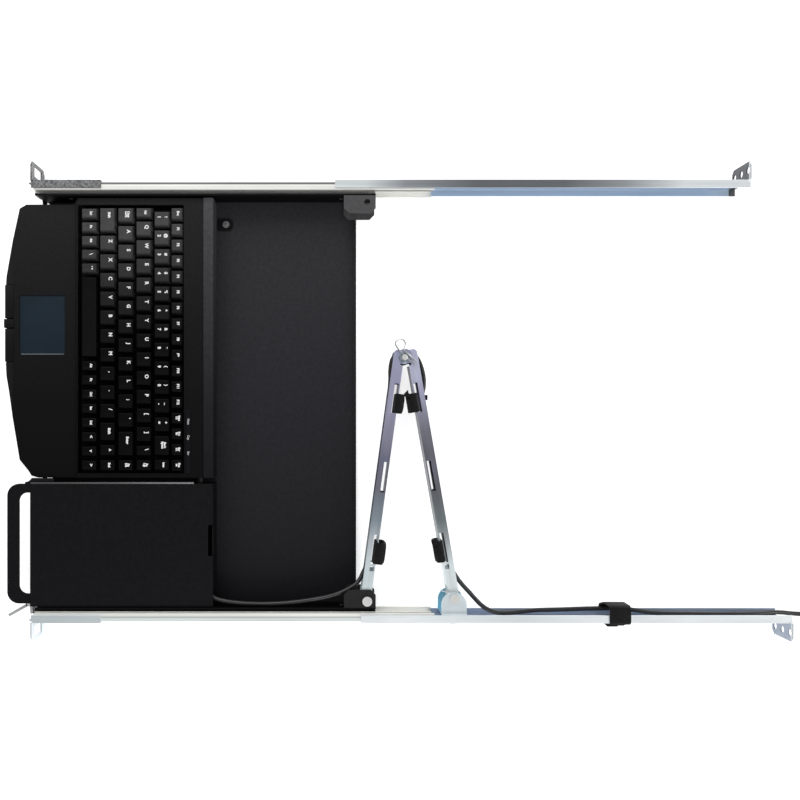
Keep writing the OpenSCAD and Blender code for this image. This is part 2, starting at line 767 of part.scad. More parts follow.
// Places of what is let into the upper shell
pad_from_left = 98;
pad_x = kb_left + pad_from_left;
pad_y = -15;
pad_sink = 0.8;
pad_play = 0.2;
pad_flange = 2;
pad_flange_y = 3.5;
click_before_pad = 10.5;
click_x = pad_x - click_before_pad;
click_w = 33.4;
scroll_w = 8.7;
seam_w = 1.1;
click_d = 11.5;
click_play = 0.4;
click_floor = 3;
window_from_right = 70.5;
window_x = kb_right - window_from_right;
window_span = 66;
window_y = kb_rear - 28.2;
window_d = 5.6;
window_depth = 1.5;
window_sink = 0.2;
module keyboard_top() {
    guide_top = guide_z + guide_t;
    color(black_plastic) difference() {
        union() {
            difference() {
                intersection() {
                    translate([0, 0, seam_z]) linear_extrude(height = deck_h + ridge_h) keyboard_plan();
                    along_x(kb_left, kb_right) keyboard_section();
                }
                keyboard_hollow(seam_z - overrun, palm_z - shell_t, deck_z - shell_t);
            }
            span([well_left - rib_t, deck_front - rib_t, guide_top],
                 [well_right + rib_t, well_rear + rib_t, palm_z - shell_t + overrun]);
            span([well_left - rib_t, deck_front, palm_z - shell_t],
                 [well_right + rib_t, well_rear + rib_t, deck_z - shell_t + overrun]);
        }
        span([well_left, deck_front, guide_top - overrun], [well_right, well_rear, deck_z + overrun]);
        span([pad_x, pad_y, palm_z - shell_t], [pad_x + pad_w, pad_y + pad_d, palm_z + overrun]);
        span([click_x - click_play, -kb_front - overrun, seam_z + click_floor],
             [click_x + 2 * click_w + scroll_w + 2 * seam_w + click_play,
              click_d + click_play - kb_front, palm_z + overrun]);
        span([window_x, window_y, deck_z - window_depth],
             [window_x + window_span, window_y + window_d, deck_z + overrun]);
    }
}

module keyboard_feet() {
    foot_r = 6;
    foot_in = 16;
    color("dimgray") for (x = [palm_x + foot_in, kb_right - foot_in],
                          y = [floor_front + foot_in, kb_rear - foot_in])
        bar_z(foot_r, floor_top, base_z, x, y);
}

module key_board() {
    color("seagreen") span([palm_x + shell_t + board_gap, deck_front - rib_t, board_z],
                           [well_right, well_rear, board_z + board_t]);
}

module dome_mat() {
    color("lightgray") {
        span([palm_x + shell_t + board_gap, deck_front - rib_t, board_z + board_t],
             [well_right, well_rear, mat_top]);
        for (row = rows, i = [0:len(row[0]) - 1])
            translate([key_x(row, i), row[2], mat_top]) cylinder(r = dome_r, h = dome_h, $fn = dome_sides);
    }
}

// Plate that guides the stems of the keys, standing on the mat with a rim
module key_guide_plate() {
    lo = [palm_x + shell_t + board_gap, deck_front - rib_t];
    hi = [well_right + rib_t / 2, well_rear + rib_t];
    hole = stem_w / 2 + stem_play;
    color("dimgray") difference() {
        span([lo[0], lo[1], mat_top], [hi[0], hi[1], guide_z + guide_t]);
        span([lo[0] + guide_rim, lo[1] + guide_rim, mat_top - overrun],
             [hi[0] - guide_rim, hi[1] - guide_rim, guide_z]);
        for (row = rows, i = [0:len(row[0]) - 1])
            span([key_x(row, i) - hole, row[2] - hole, guide_z - overrun],
                 [key_x(row, i) + hole, row[2] + hole, guide_z + guide_t + overrun]);
    }
}

module touch_pad() {
    top = palm_z - pad_sink;
    under = palm_z - shell_t;
    color("#1c2730") {
        span([pad_x + pad_play, pad_y + pad_play, under],
             [pad_x + pad_w - pad_play, pad_y + pad_d - pad_play, top]);
        span([pad_x - pad_flange, pad_y + pad_flange_y, under - board_t],
             [pad_x + pad_w + pad_flange, pad_y + pad_d + pad_flange, under]);
    }
}

module indicator_window() {
    color("#15181c") span([window_x + pad_play, window_y + pad_play, deck_z - window_depth],
                          [window_x + window_span - pad_play, window_y + window_d - pad_play,
                           deck_z - window_sink]);
}

// Tapered sleeve where the lead leaves the side of the keyboard
relief_y = kb_rear - 17;
relief_z = base_z + base_h / 2;
relief_len = 12;
relief_r = 4;
module strain_relief() {
    color(black_plastic) translate([kb_right, relief_y, relief_z]) rotate([0, 90, 0])
        cylinder(r1 = relief_r, r2 = lead_d / 2 + pad_play, h = relief_len);
}

// Buttons in the front edge of the palm rest, counted from the left
module front_button(x, w, proud, top) {
    color(black_plastic)
        span([x, -kb_front - proud, seam_z + click_floor + click_travel + click_play],
             [x + w, click_d - kb_front, top]);
}
module left_click_button() { front_button(click_x, click_w, -click_play, palm_z - click_play); }
module scroll_button() { front_button(click_x + click_w + seam_w, scroll_w, scroll_proud, palm_z); }
module right_click_button() {
    front_button(click_x + click_w + scroll_w + 2 * seam_w, click_w, -click_play, palm_z - click_play);
}

// A key: a cap whose sides lean in, on a square stem
module key(x, y, w, d) {
    half = [w / 2, d / 2];
    top = [w / 2 - cap_inset[0], d / 2 - cap_inset[1]];
    translate([x, y, 0]) {
        intersection() {
            along_y(-half[1], half[1])
                polygon([[-half[0], cap_z], [half[0], cap_z], [top[0], cap_z + cap_h],
                         [-top[0], cap_z + cap_h]]);
            along_x(-half[0], half[0])
                polygon([[-half[1], cap_z], [half[1], cap_z], [top[1], cap_z + cap_h],
                         [-top[1], cap_z + cap_h]]);
        }
        span([-stem_w / 2, -stem_w / 2, stem_z], [stem_w / 2, stem_w / 2, cap_z]);
    }
}

module key_row(n, indexes) {
    color(black_plastic) for (i = indexes) key(key_x(rows[n], i), rows[n][2], key_w(rows[n], i), rows[n][3]);
}
module bottom_keys() { key_row(0, [for (i = [0:len(bottom_shares) - 1]) if (i != space_index) i]); }
module space_bar() { key_row(0, [space_index]); }
module lower_letter_keys() { key_row(1, [0:len(lower_shares) - 1]); }
module home_keys() { key_row(2, [0:len(home_shares) - 1]); }
module upper_letter_keys() { key_row(3, [0:len(upper_shares) - 1]); }
module number_keys() { key_row(4, [0:len(number_shares) - 1]); }
module function_keys() { key_row(5, [0:len(function_shares) - 1]); }

// Plate behind the keyboard that keeps it from sliding back, held by a screw in the floor
clamp_from_left = 21.7;
clamp_x = kb_left + clamp_from_left;
clamp_y = kb_rear + 10;
clamp_w = 12;
clamp_front = 8.8;
clamp_back = 7;
clamp_corner = 3;
module keyboard_clamp() {
    half = clamp_w / 2;
    color(black_steel) translate([clamp_x, clamp_y, floor_top]) difference() {
        linear_extrude(height = bracket_t)
            polygon([[-half, -clamp_front], [half, -clamp_front], [half, clamp_back - clamp_corner],
                     [half - clamp_corner, clamp_back], [clamp_corner - half, clamp_back],
                     [-half, clamp_back - clamp_corner]]);
        translate([0, 0, -overrun]) cylinder(r = tray_screw_r + play, h = bracket_t + 2 * overrun);
    }
}

// Third pivot of the cable arm, where its two arms meet, and the line of each arm from it
arm_mid = (tray_pivot + rail_pivot) / 2;
arm_line = rail_pivot - tray_pivot;
apex_reach = sqrt(arm_len * arm_len - arm_line * arm_line / 4);
apex = arm_mid + apex_reach * [-arm_line[1], arm_line[0]] / norm(arm_line);
front_dir = atan2(tray_pivot[1] - apex[1], tray_pivot[0] - apex[0]);
rear_dir = atan2(rail_pivot[1] - apex[1], rail_pivot[0] - apex[0]);
nest_gap = 0.5;
rear_arm_z = arm_z + arm_t + nest_gap;
rear_arm_h = arm_h - 2 * (arm_t + nest_gap);
front_offsets = [-6, -1.7];
rear_offsets = [-8.4, -0.6];
arm_overhang = 7;
arm_short = 1;
apex_ear_r = 7.7;
apex_ear_ahead = 1.2;
relief = [6.3, 8.7, 2.6];
arm_end_r = 4;
far_ear_r = 6;
web_start = 10;
web_end = 12;
slot_station_shares = [[0.1088, 0.2297], [0.4311, 0.556], [0.7293, 0.8501], [0.8582, 0.8783]];
slot_w = 4.2;
slot_inset = 0;
bush_r = 4.5;
apex_pin_head_r = 5;
apex_pin_top = 42;
washer_r = 6;
washer_t = 1;
clip_r = 0.8;
clip_z = 39.3;
clip_ring_r = 4.1;
clip_from_apex = [-13.8, -4.9];
clip_leg_end = 8.5;
clip_tail = [[0, 4.1], [3, 4.5], [7, 5.1], [11, 4.7], [14.6, 4.5], [19, 5.8], [24.5, 8]];

// Frame of each arm: its line is X, and Y points at the other arm
module front_frame() { translate(apex) rotate(front_dir) children(); }
module rear_frame() { translate(apex) rotate(rear_dir) mirror([0, 1, 0]) children(); }
function front_at(u, v) =
    apex + u * [cos(front_dir), sin(front_dir)] + v * [-sin(front_dir), cos(front_dir)];
function rear_at(u, v) = apex + u * [cos(rear_dir), sin(rear_dir)] + v * [sin(rear_dir), -cos(rear_dir)];

// The channel lies slightly askew to the line of its pivots
module channel_frame(offsets) {
    translate([0, offsets[0], 0]) rotate(atan2(offsets[1] - offsets[0], arm_len)) children();
}

// One flange in plan: strip, rounded ears at both pivots, a relief where the web starts, and slots
// beside the web
module arm_flange(offsets) {
    half = arm_w / 2;
    difference() {
        union() {
            channel_frame(offsets) {
                rect([arm_end_r - arm_overhang, -half], [arm_len - arm_short, half]);
                rect([-arm_overhang, arm_end_r - half], [0, half - arm_end_r]);
                for (side = [-1, 1])
                    translate([arm_end_r - arm_overhang, side * (half - arm_end_r)])
                        circle(r = arm_end_r);
            }
            translate([-apex_ear_ahead, 0]) circle(r = apex_ear_r);
            translate([arm_len, 0]) circle(r = far_ear_r);
        }
        channel_frame(offsets) {
            rect([relief[0], half - relief[2]], [relief[1], half + relief[2]]);
            for (slot = slot_station_shares * arm_len)
                rect([slot[0], half - arm_t - slot_inset - slot_w],
                     [slot[1], half - arm_t - slot_inset]);
        }
    }
}

module arm_channel(z0, h, offsets) {
    half = arm_w / 2;
    for (z = [z0, z0 + h - arm_t]) translate([0, 0, z]) linear_extrude(height = arm_t)
        arm_flange(offsets);
    channel_frame(offsets) span([web_start, half - arm_t, z0 + arm_t / 2],
                         [arm_len - web_end, half, z0 + h - arm_t / 2]);
}

module front_arm() {
    color(zinc) front_frame() difference() {
        arm_channel(arm_z, arm_h, front_offsets);
        for (u = [0, arm_len]) bar_z(pin_r + play, arm_z - overrun, arm_z + arm_h + overrun, u, 0);
    }
}

// The rear arm folds between the flanges of the front one and ends in a bush
module rear_arm() {
    color(zinc) rear_frame() difference() {
        union() {
            arm_channel(rear_arm_z, rear_arm_h, rear_offsets);
            bar_z(bush_r, lug_z + bracket_t + lug_lift, lug_plate_z - lug_lift, arm_len, 0);
        }
        for (u = [0, arm_len])
            bar_z(pin_r + play, lug_z, lug_plate_z + overrun, u, 0);
    }
}

module apex_pin() {
    color("gainsboro") translate(apex) {
        difference() {
            union() {
                bar_z(apex_pin_head_r, arm_z - pin_head_h, arm_z, 0, 0);
                bar_z(pin_r, arm_z, apex_pin_top, 0, 0);
            }
            translate([0, 0, clip_z]) rotate(atan2(-clip_from_apex[1], -clip_from_apex[0]))
                bar_x(clip_r + tongue_play, -pin_r - overrun, pin_r + overrun, 0, 0);
        }
        difference() {
            bar_z(washer_r, arm_z + arm_h, arm_z + arm_h + washer_t, 0, 0);
            bar_z(pin_r + play, arm_z, arm_z + arm_h + washer_t + overrun, 0, 0);
        }
    }
}

// Hook-and-loop strap round the web of an arm, through a slot in each flange
strap_t = 1.5;
strap_play = 0.4;
strap_leg = 3;
strap_pad = 4;
strap_station_shares = [[0.1491, 0.2276], [0.7599, 0.8475]];
module arm_strap(z0, h, station, offsets) {
    face = arm_w / 2;
    inside = face - arm_t - strap_play;
    color("#0d0d0e") channel_frame(offsets) difference() {
        span([station[0], inside - strap_leg, z0 - strap_play - strap_t],
             [station[1], face + strap_play + strap_pad, z0 + h + strap_play + strap_t]);
        span([station[0] - overrun, inside, z0 - strap_play],
             [station[1] + overrun, face + strap_play, z0 + h + strap_play]);
    }
}
module front_arm_straps() {
    front_frame() for (station = strap_station_shares * arm_len)
        arm_strap(arm_z, arm_h, station, front_offsets);
}
module rear_arm_straps() {
    rear_frame() for (station = strap_station_shares * arm_len)
        arm_strap(rear_arm_z, rear_arm_h, station, rear_offsets);
}

// Strap round the right rear rail
rail_strap_ahead = [175, 153];
rail_strap_y = [depth_right - rail_strap_ahead[0], depth_right - rail_strap_ahead[1]];
rail_strap_in = 17;
rail_strap_x = slide_x - rail_strap_in;
rail_strap_play = 0.5;
rail_strap_lift = 0.15;
module rail_strap() {
    out_x = slide_x + run_gap + bracket_t + rail_strap_play;
    low = mid_z - outer_half - run_gap - bracket_t - rail_strap_lift;
    color("#0d0d0e") difference() {
        span([rail_strap_x, rail_strap_y[0], low - strap_t],
             [out_x + strap_t, rail_strap_y[1], 2 * mid_z - low + strap_t]);
        span([rail_strap_x + strap_t, rail_strap_y[0] - overrun, low],
             [out_x, rail_strap_y[1] + overrun, 2 * mid_z - low]);
    }
}

// Points of a smooth line through stops, about one ring apart
ring_step = 12;
lead_sides = 8;
coil_sides = 6;
coil_rings = 24;
function unit(v) = v / norm(v);
function bend(a, b, c, d, t) =
    (2 * b + (c - a) * t + (2 * a - 5 * b + 4 * c - d) * t * t + (3 * b - a - 3 * c + d) * t * t * t) / 2;
function steps(p, i) = max(1, round(norm(p[i + 1] - p[i]) / ring_step));
function rings_to(p, n) = n <= 0 ? 0 : steps(p, n - 1) + rings_to(p, n - 1);
function smooth(p) = concat(
    [for (i = [0:len(p) - 2]) let (n = steps(p, i)) for (k = [0:n - 1])
        bend(p[max(i - 1, 0)], p[i], p[i + 1], p[min(i + 2, len(p) - 1)], k / n)],
    [p[len(p) - 1]]);
function heading(p, i) = unit(p[min(i + 1, len(p) - 1)] - p[max(i - 1, 0)]);
function ring(at, way, r, sides) =
    let (across = unit(cross(way, [0, 0, 1])), up = cross(across, way))
    [for (k = [0:sides - 1]) at + r * (cos(360 * k / sides) * across + sin(360 * k / sides) * up)];
function run_length(p, from, to) =
    from >= to ? 0 : norm(p[from + 1] - p[from]) + run_length(p, from + 1, to);

// Tube through rings of points, closed at both ends
module tube(rings) {
    n = len(rings[0]);
    last = len(rings) - 1;
    polyhedron(points = [for (one = rings) each one],
               faces = concat([[for (k = [0:n - 1]) n - 1 - k]],
                              [[for (k = [0:n - 1]) last * n + k]],
                              [for (i = [0:last - 1], k = [0:n - 1])
                                  [i * n + k, i * n + (k + 1) % n, (i + 1) * n + (k + 1) % n]],
                              [for (i = [0:last - 1], k = [0:n - 1])
                                  [i * n + k, (i + 1) * n + (k + 1) % n, (i + 1) * n + k]]));
}

// Clip through the apex pin: a sprung wire with one straight leg and one bent one
module retaining_clip() {
    clip_at = apex + clip_from_apex;
    path = smooth([for (p = clip_tail) [p[0], p[1], 0]]);
    color("silver") translate([clip_at[0], clip_at[1], clip_z])
        rotate(atan2(-clip_from_apex[1], -clip_from_apex[0])) {
            rotate_extrude() translate([clip_ring_r, 0]) circle(r = clip_r, $fn = 16);
            bar_x(clip_r, clip_ring_r, norm(clip_from_apex) + clip_leg_end, 0, 0);
            tube([for (i = [0:len(path) - 1]) ring(path[i], heading(path, i), clip_r, lead_sides)]);
        }
}

// Stops of the lead from the keyboard to the arms
arm_lead_z = 21;
lead_start_x = kb_right + relief_len;
platform_lead_x_shares = [0, 0.098, 0.366, 0.679, 0.902, 0.987];
platform_lead_ahead = [17, 17, 15, 12, 8, -2];
platform_lead_z = [relief_z, relief_z, 14, 20, 27, 30.5];
wall_lead = [[2.5, 23, 31.5], [3.8, 48, 31.5], [3.2, 68, 31.5]];
corner_lead = [[1.3, -67.4, 31], [-3, -40.4, 30], [-9, -22.4, 28.5], [-17, -9.4, 26.5], [-26, -3.9, 24],
               [-33, -0.4, 22.5]];
lead_in_tray = concat(
    [for (i = [0:len(platform_lead_z) - 1])
        [lead_start_x + platform_lead_x_shares[i] * (pivot_x - lead_start_x),
         platform_rear - platform_lead_ahead[i], platform_lead_z[i]]],
    [for (p = wall_lead) [pivot_x + p[0], platform_rear + p[1], p[2]]],
    [for (p = corner_lead) [pivot_x + p[0], pivot_y + p[1], p[2]]]);
front_lead_shares = [0.826, 0.7252, 0.5641, 0.4029, 0.2417, 0.145];
front_lead_off = [-4.8, -5.3, -5.8, -6.3, -7.3, -8.8];
rear_lead_shares = [0.212, 0.29, 0.4029, 0.5641, 0.7252, 0.826];
rear_lead_off = [-9.4, -8.2, -7.3, -6.2, -5.2, -4.3];
loop_lead = [[19.6, -13.8], [13.4, -13.8], [7.3, -13.2], [1.7, -11.9], [-2.9, -9.4], [-6.2, -4.9],
             [-7.4, 0.8], [-6.7, 6.9], [-3.8, 11.9], [2.9, 15.8], [12.2, 18.9], [22.5, 20.4],
             [31.7, 19.6], [38.8, 17.6]];
pivot_lead = [[-30.8, -2.2, 20], [-15.3, 7.3, 17], [-2.8, 18.3, 14], [9.7, 29.8, 10.5], [15.7, 39.8, 8]];
rail_lead_start = 52.8;
rail_lead_y_shares = [0, 0.049, 0.147, 0.252, 0.357, 0.427, 0.514, 0.619, 0.741, 0.864];
rail_lead_in = [4.2, 3.7, 3.6, 3.8, 4.2, 4.2, 3.8, 3.4, 3, 2.7];
rail_lead_z = 6.3;
lead_on_rail = concat(
    [for (p = pivot_lead) [rail_pivot[0] + p[0], rail_pivot[1] + p[1], p[2]]],
    [for (i = [0:len(rail_lead_in) - 1])
        [slide_x - rail_lead_in[i],
         rail_pivot[1] + rail_lead_start
             + rail_lead_y_shares[i] * (depth_right - rail_pivot[1] - rail_lead_start), rail_lead_z]]);
rail_exit_in = 2.6;
rail_exit = [slide_x - rail_exit_in, depth_right, rail_lead_z];
tie_t = 0.7;
tie_play = 0.1;
coil_z = tie_t + tie_play + lead_d / 2;
tail_x = slide_x;
coil_y = depth_right + 60;
lead_off_rail = [[tail_x - 2, depth_right + 8, 4.9], [tail_x - 0.7, depth_right + 18, 3.5],
                 [tail_x, depth_right + 31, coil_z], [tail_x, coil_y - 6, coil_z],
                 [tail_x, coil_y, coil_z]];
bisector = (front_dir + rear_dir) / 2;
function apex_at(p, q) = [apex[0] + p * cos(bisector) - q * sin(bisector),
                          apex[1] + p * sin(bisector) + q * cos(bisector), arm_lead_z];
front_stops = [for (i = [0:len(front_lead_off) - 1])
    concat(front_at(front_lead_shares[i] * arm_len, front_lead_off[i]), arm_lead_z)];
rear_stops = [for (i = [0:len(rear_lead_off) - 1])
    concat(rear_at(rear_lead_shares[i] * arm_len, rear_lead_off[i]), arm_lead_z)];
loop_stops = [for (p = loop_lead) apex_at(p[0], p[1])];
stops = concat(lead_in_tray, front_stops, loop_stops, rear_stops, lead_on_rail, [rail_exit],
               lead_off_rail);
path = smooth(stops);
front_break = len(lead_in_tray);
rear_break = front_break + len(front_stops) + len(loop_stops);
stops_past_arm = 3;
rail_break = rear_break + len(rear_stops) - 1 + stops_past_arm;
exit_break = rear_break + len(rear_stops) + len(lead_on_rail);
breaks = [for (i = [0, front_break, rear_break, rail_break, exit_break, len(stops) - 1]) rings_to(stops, i)];
module lead_run(n) {
    color("#0b0b0c")
        tube([for (i = [breaks[n]:breaks[n + 1]]) ring(path[i], heading(path, i), lead_d / 2, lead_sides)]);
}
module lead_tray() { lead_run(0); }
module lead_front_arm() { lead_run(1); }
module lead_rear_arm() { lead_run(2); }
module lead_rail() { lead_run(3); }
module lead_tail() { lead_run(4); }

// Stored coil: in and out again at a steady rate, climbing to a second layer at its middle
coil_pitch = lead_d + 0.7;
coil_at = [tail_x - coil_r, coil_y];
coil_in = 360 * coil_turns;
coil_climb = 180;
coil_out = 2 * coil_in + 90;
coil_mid = coil_in + coil_climb / 2;
coil_exit = [10, 20, 30, 40, 46];
coil_exit_drop = [0.5, 2, 3.6, 4.4, 4.4];
plug_z = 4;
function coil_radius(a) = coil_r - coil_pitch * min(a, 2 * coil_mid - a) / 360;
function coil_level(a) = coil_z + coil_pitch * min(1, max(0, (a - coil_in) / coil_climb));
coil_end = [coil_at[0], coil_at[1] + coil_radius(coil_out), coil_level(coil_out)];
coil_path = concat(
    [for (a = [0:360 / coil_rings:coil_out])
        [coil_at[0] + coil_radius(a) * cos(a), coil_at[1] + coil_radius(a) * sin(a), coil_level(a)]],
    [for (i = [0:len(coil_exit) - 1])
        [coil_end[0] - coil_exit[i], coil_end[1],
         coil_end[2] - coil_exit_drop[i] / coil_exit_drop[4] * (coil_end[2] - plug_z)]]);
function coil_heading(i) = i == 0 ? [0, 1, 0] : i == len(coil_path) - 1 ? [-1, 0, 0] : heading(coil_path, i);
module lead_coil() {
    color("#0b0b0c") tube([for (i = [0:len(coil_path) - 1])
        ring(coil_path[i], coil_heading(i), lead_d / 2, coil_sides)]);
}
coil_gap = min([for (i = [0:len(coil_path) - 1 - coil_rings / 2])
    for (j = [i + coil_rings / 2:len(coil_path) - 1]) norm(coil_path[i] - coil_path[j])]) - lead_d;
echo(least_gap_of_coil = coil_gap);
echo(lead_lengths = [for (n = [0:4]) run_length(path, breaks[n], breaks[n + 1])],
     coil_length = run_length(coil_path, 0, len(coil_path) - 1));

// Tie round both layers of the coil, on the side nearest the rack
tie_w = 12;
tie_side = 270;
tie_ease = [1.3, 0.4];
module coil_tie() {
    far = coil_radius(tie_side) + lead_d / 2 + tie_ease[1];
    near = coil_radius(coil_in - 90) - lead_d / 2 - tie_ease[0];
    color("#0d0d0e") translate([coil_at[0], coil_at[1], 0]) rotate(tie_side) difference() {
        span([near - tie_t, -tie_w / 2, 0],
             [far + tie_t, tie_w / 2, coil_z + coil_pitch + lead_d / 2 + tie_play + tie_t]);
        span([near, -tie_w / 2 - overrun, tie_t],
             [far, tie_w / 2 + overrun, coil_z + coil_pitch + lead_d / 2 + tie_play]);
    }
}

// Plug at the lead's end: moulded grip and open metal shell
grip = [28, 15, 8];
shell = [12.5, 12, 4.5];
shell_wall = 0.4;
tongue = [11, 11, 1.8];
module lead_plug() {
    rear = coil_path[len(coil_path) - 1];
    front = rear[0] - grip[0];
    color("#101011") span([front, rear[1] - grip[1] / 2, 0], [rear[0], rear[1] + grip[1] / 2, grip[2]]);
    color("silver") difference() {
        span([front - shell[0], rear[1] - shell[1] / 2, plug_z - shell[2] / 2],
             [front, rear[1] + shell[1] / 2, plug_z + shell[2] / 2]);
        span([front - shell[0] - overrun, rear[1] - shell[1] / 2 + shell_wall,
              plug_z - shell[2] / 2 + shell_wall],
             [front + overrun, rear[1] + shell[1] / 2 - shell_wall, plug_z + shell[2] / 2 - shell_wall]);
    }
    color("whitesmoke") span([front - tongue[0], rear[1] - tongue[1] / 2, plug_z],
                             [front, rear[1] + tongue[1] / 2, plug_z + tongue[2]]);
}

// Single-side pieces under their own names
module left_outer_slide() { outer_slide(-1); }
module left_front_bracket() { front_bracket(-1); }
module left_middle_slide() { middle_slide(-1); }
module left_inner_slide() { inner_slide(-1); }
module right_outer_slide() { outer_slide(1); }
module right_front_bracket() { front_bracket(1); }
module right_middle_slide() { middle_slide(1); }
module right_inner_slide() { inner_slide(1); }
module left_rear_bracket() { rear_bracket(-1, rear_start_left, depth_left); }
module right_rear_bracket() { rear_bracket(1, rear_start_right, depth_right); }

placed() left_outer_slide();
placed() right_outer_slide();
placed() left_front_bracket();
placed() right_front_bracket();
placed() left_rear_bracket();
placed() right_rear_bracket();
placed() front_rivets();
placed() rail_screws();
placed() left_middle_slide();
placed() right_middle_slide();
placed() outer_bearings();
placed() inner_bearings();
placed() left_inner_slide();
placed() right_inner_slide();
placed() tray_pan();
placed() tray_screws();
placed() rear_lugs();
placed() drawer_pins();
placed() mouse_platform();
placed() pull_handle();
placed() latch_bracket();
placed() release_lever();
placed() keyboard_base();
placed() keyboard_top();
placed() keyboard_feet();
placed() key_board();
placed() dome_mat();
placed() key_guide_plate();
placed() touch_pad();
placed() indicator_window();
placed() strain_relief();
placed() left_click_button();
placed() scroll_button();
placed() right_click_button();
placed() function_keys();
placed() number_keys();
placed() upper_letter_keys();
placed() home_keys();
placed() lower_letter_keys();
placed() bottom_keys();
placed() space_bar();
placed() keyboard_clamp();
placed() front_arm();
placed() rear_arm();
placed() apex_pin();
placed() retaining_clip();
placed() arm_bracket();
placed() rail_pivot_pin();
placed() front_arm_straps();
placed() rear_arm_straps();
placed() rail_strap();
placed() lead_tray();
placed() lead_front_arm();
placed() lead_rear_arm();
placed() lead_rail();
placed() lead_tail();
placed() lead_coil();
placed() coil_tie();
placed() lead_plug();
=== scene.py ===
import math

import bmesh
import bpy
from mathutils import Matrix, Vector


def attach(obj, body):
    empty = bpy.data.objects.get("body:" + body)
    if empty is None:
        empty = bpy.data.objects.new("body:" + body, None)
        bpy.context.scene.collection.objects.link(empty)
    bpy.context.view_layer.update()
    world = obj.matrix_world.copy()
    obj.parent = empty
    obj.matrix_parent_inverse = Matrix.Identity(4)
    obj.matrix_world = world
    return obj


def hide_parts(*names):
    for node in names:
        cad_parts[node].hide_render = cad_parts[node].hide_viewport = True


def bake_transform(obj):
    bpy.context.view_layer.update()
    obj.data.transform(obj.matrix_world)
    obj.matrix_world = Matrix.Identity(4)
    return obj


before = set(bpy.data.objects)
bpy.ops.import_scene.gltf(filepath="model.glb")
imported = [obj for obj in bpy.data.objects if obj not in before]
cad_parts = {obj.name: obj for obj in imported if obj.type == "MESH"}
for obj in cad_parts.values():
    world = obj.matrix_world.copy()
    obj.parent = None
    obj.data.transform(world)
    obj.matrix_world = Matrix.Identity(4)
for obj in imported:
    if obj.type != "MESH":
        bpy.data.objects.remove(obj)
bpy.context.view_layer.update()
bpy.ops.object.select_all(action="DESELECT")

# Camera: straight above the drawer, 1 m over the ears' lower edge, the front of the drawer to the
# left of the picture. The photograph's frame lies beside the optical axis, hence the small shift.
bpy.ops.object.camera_add(location=(0.0186, -0.0644, 1.0), rotation=(0, 0, math.pi / 2))
camera = bpy.context.object
camera.data.lens = 43.02
camera.data.sensor_width = 36
camera.data.shift_x = 0.08625
camera.data.shift_y = 0.025
camera.data.clip_start = 0.01
bpy.context.scene.camera = camera

# Floor: a white sheet under the part that still takes its shadow, and soft white studio light
# from a pale room and three large panels.
bpy.ops.mesh.primitive_plane_add(size=14, location=(0, 0, -0.0006))
floor = bpy.context.object
floor.name = "white_floor"
floor_paint = bpy.data.materials.new("floor_paint")
floor_paint.use_nodes = True
tree = floor_paint.node_tree
paint = tree.nodes["Principled BSDF"]
paint.inputs["Base Color"].default_value = (0.85, 0.85, 0.85, 1)
paint.inputs["Roughness"].default_value = 0.9
paint.inputs["Specular IOR Level"].default_value = 0.1
glow = tree.nodes.new("ShaderNodeEmission")
glow.inputs["Color"].default_value = (1, 1, 1, 1)
glow.inputs["Strength"].default_value = 0.62
both = tree.nodes.new("ShaderNodeAddShader")
pick = tree.nodes.new("ShaderNodeMixShader")
rays = tree.nodes.new("ShaderNodeLightPath")
seen = tree.nodes.new("ShaderNodeMath")
seen.operation = "ADD"
seen.use_clamp = True
tree.links.new(rays.outputs["Is Camera Ray"], seen.inputs[0])
tree.links.new(rays.outputs["Is Glossy Ray"], seen.inputs[1])
tree.links.new(paint.outputs[0], both.inputs[0])
tree.links.new(glow.outputs[0], both.inputs[1])
tree.links.new(seen.outputs[0], pick.inputs[0])
tree.links.new(paint.outputs[0], pick.inputs[1])
tree.links.new(both.outputs[0], pick.inputs[2])
tree.links.new(pick.outputs[0], tree.nodes["Material Output"].inputs["Surface"])
floor.data.materials.append(floor_paint)

world = bpy.data.worlds.new("studio")
bpy.context.scene.world = world
world.use_nodes = True
tree = world.node_tree
room = tree.nodes["Background"]
room.inputs["Color"].default_value = (1, 1, 1, 1)
rays = tree.nodes.new("ShaderNodeLightPath")
level = tree.nodes.new("ShaderNodeMapRange")
level.inputs["To Min"].default_value = 0.5
level.inputs["To Max"].default_value = 1.0
tree.links.new(rays.outputs["Is Camera Ray"], level.inputs["Value"])
tree.links.new(level.outputs["Result"], room.inputs["Strength"])

for name, place, aim, size, power in (
        ("panel_left", (-1.5, -0.6, 1.3), (0, 0, 0), 1.4, 22),
        ("panel_right", (1.5, 0.2, 1.2), (0, 0, 0), 1.2, 14),
        ("panel_back", (0.1, 1.9, 1.1), (0, 0, 0), 1.2, 14)):
    bpy.ops.object.light_add(type="AREA", location=place)
    panel = bpy.context.object
    panel.name = name
    panel.data.size = size
    panel.data.energy = power
    panel.rotation_euler = (Vector(aim) - Vector(place)).to_track_quat("-Z", "Y").to_euler()
bpy.context.scene.view_settings.view_transform = "Standard"

# Free lead: what is left of the keyboard's lead past the rail's end. It drops to the floor behind
# the right rear ear and lies in a two-layer coil. Black moulded PVC, 4.6 mm thick.


EARS_TO_ORIGIN = 365.4


def at(x, y, z):
    """A point of the drawings, in millimetres from the front ears, as a point of this scene."""
    return Vector((x, y - EARS_TO_ORIGIN, z)) / 1000


def put(tree, kind, **values):
    """A new shader node with some of its inputs or properties set."""
    made = tree.nodes.new(kind)
    for key, value in values.items():
        if key in made.inputs:
            made.inputs[key].default_value = value
        else:
            setattr(made, key, value)
    return made


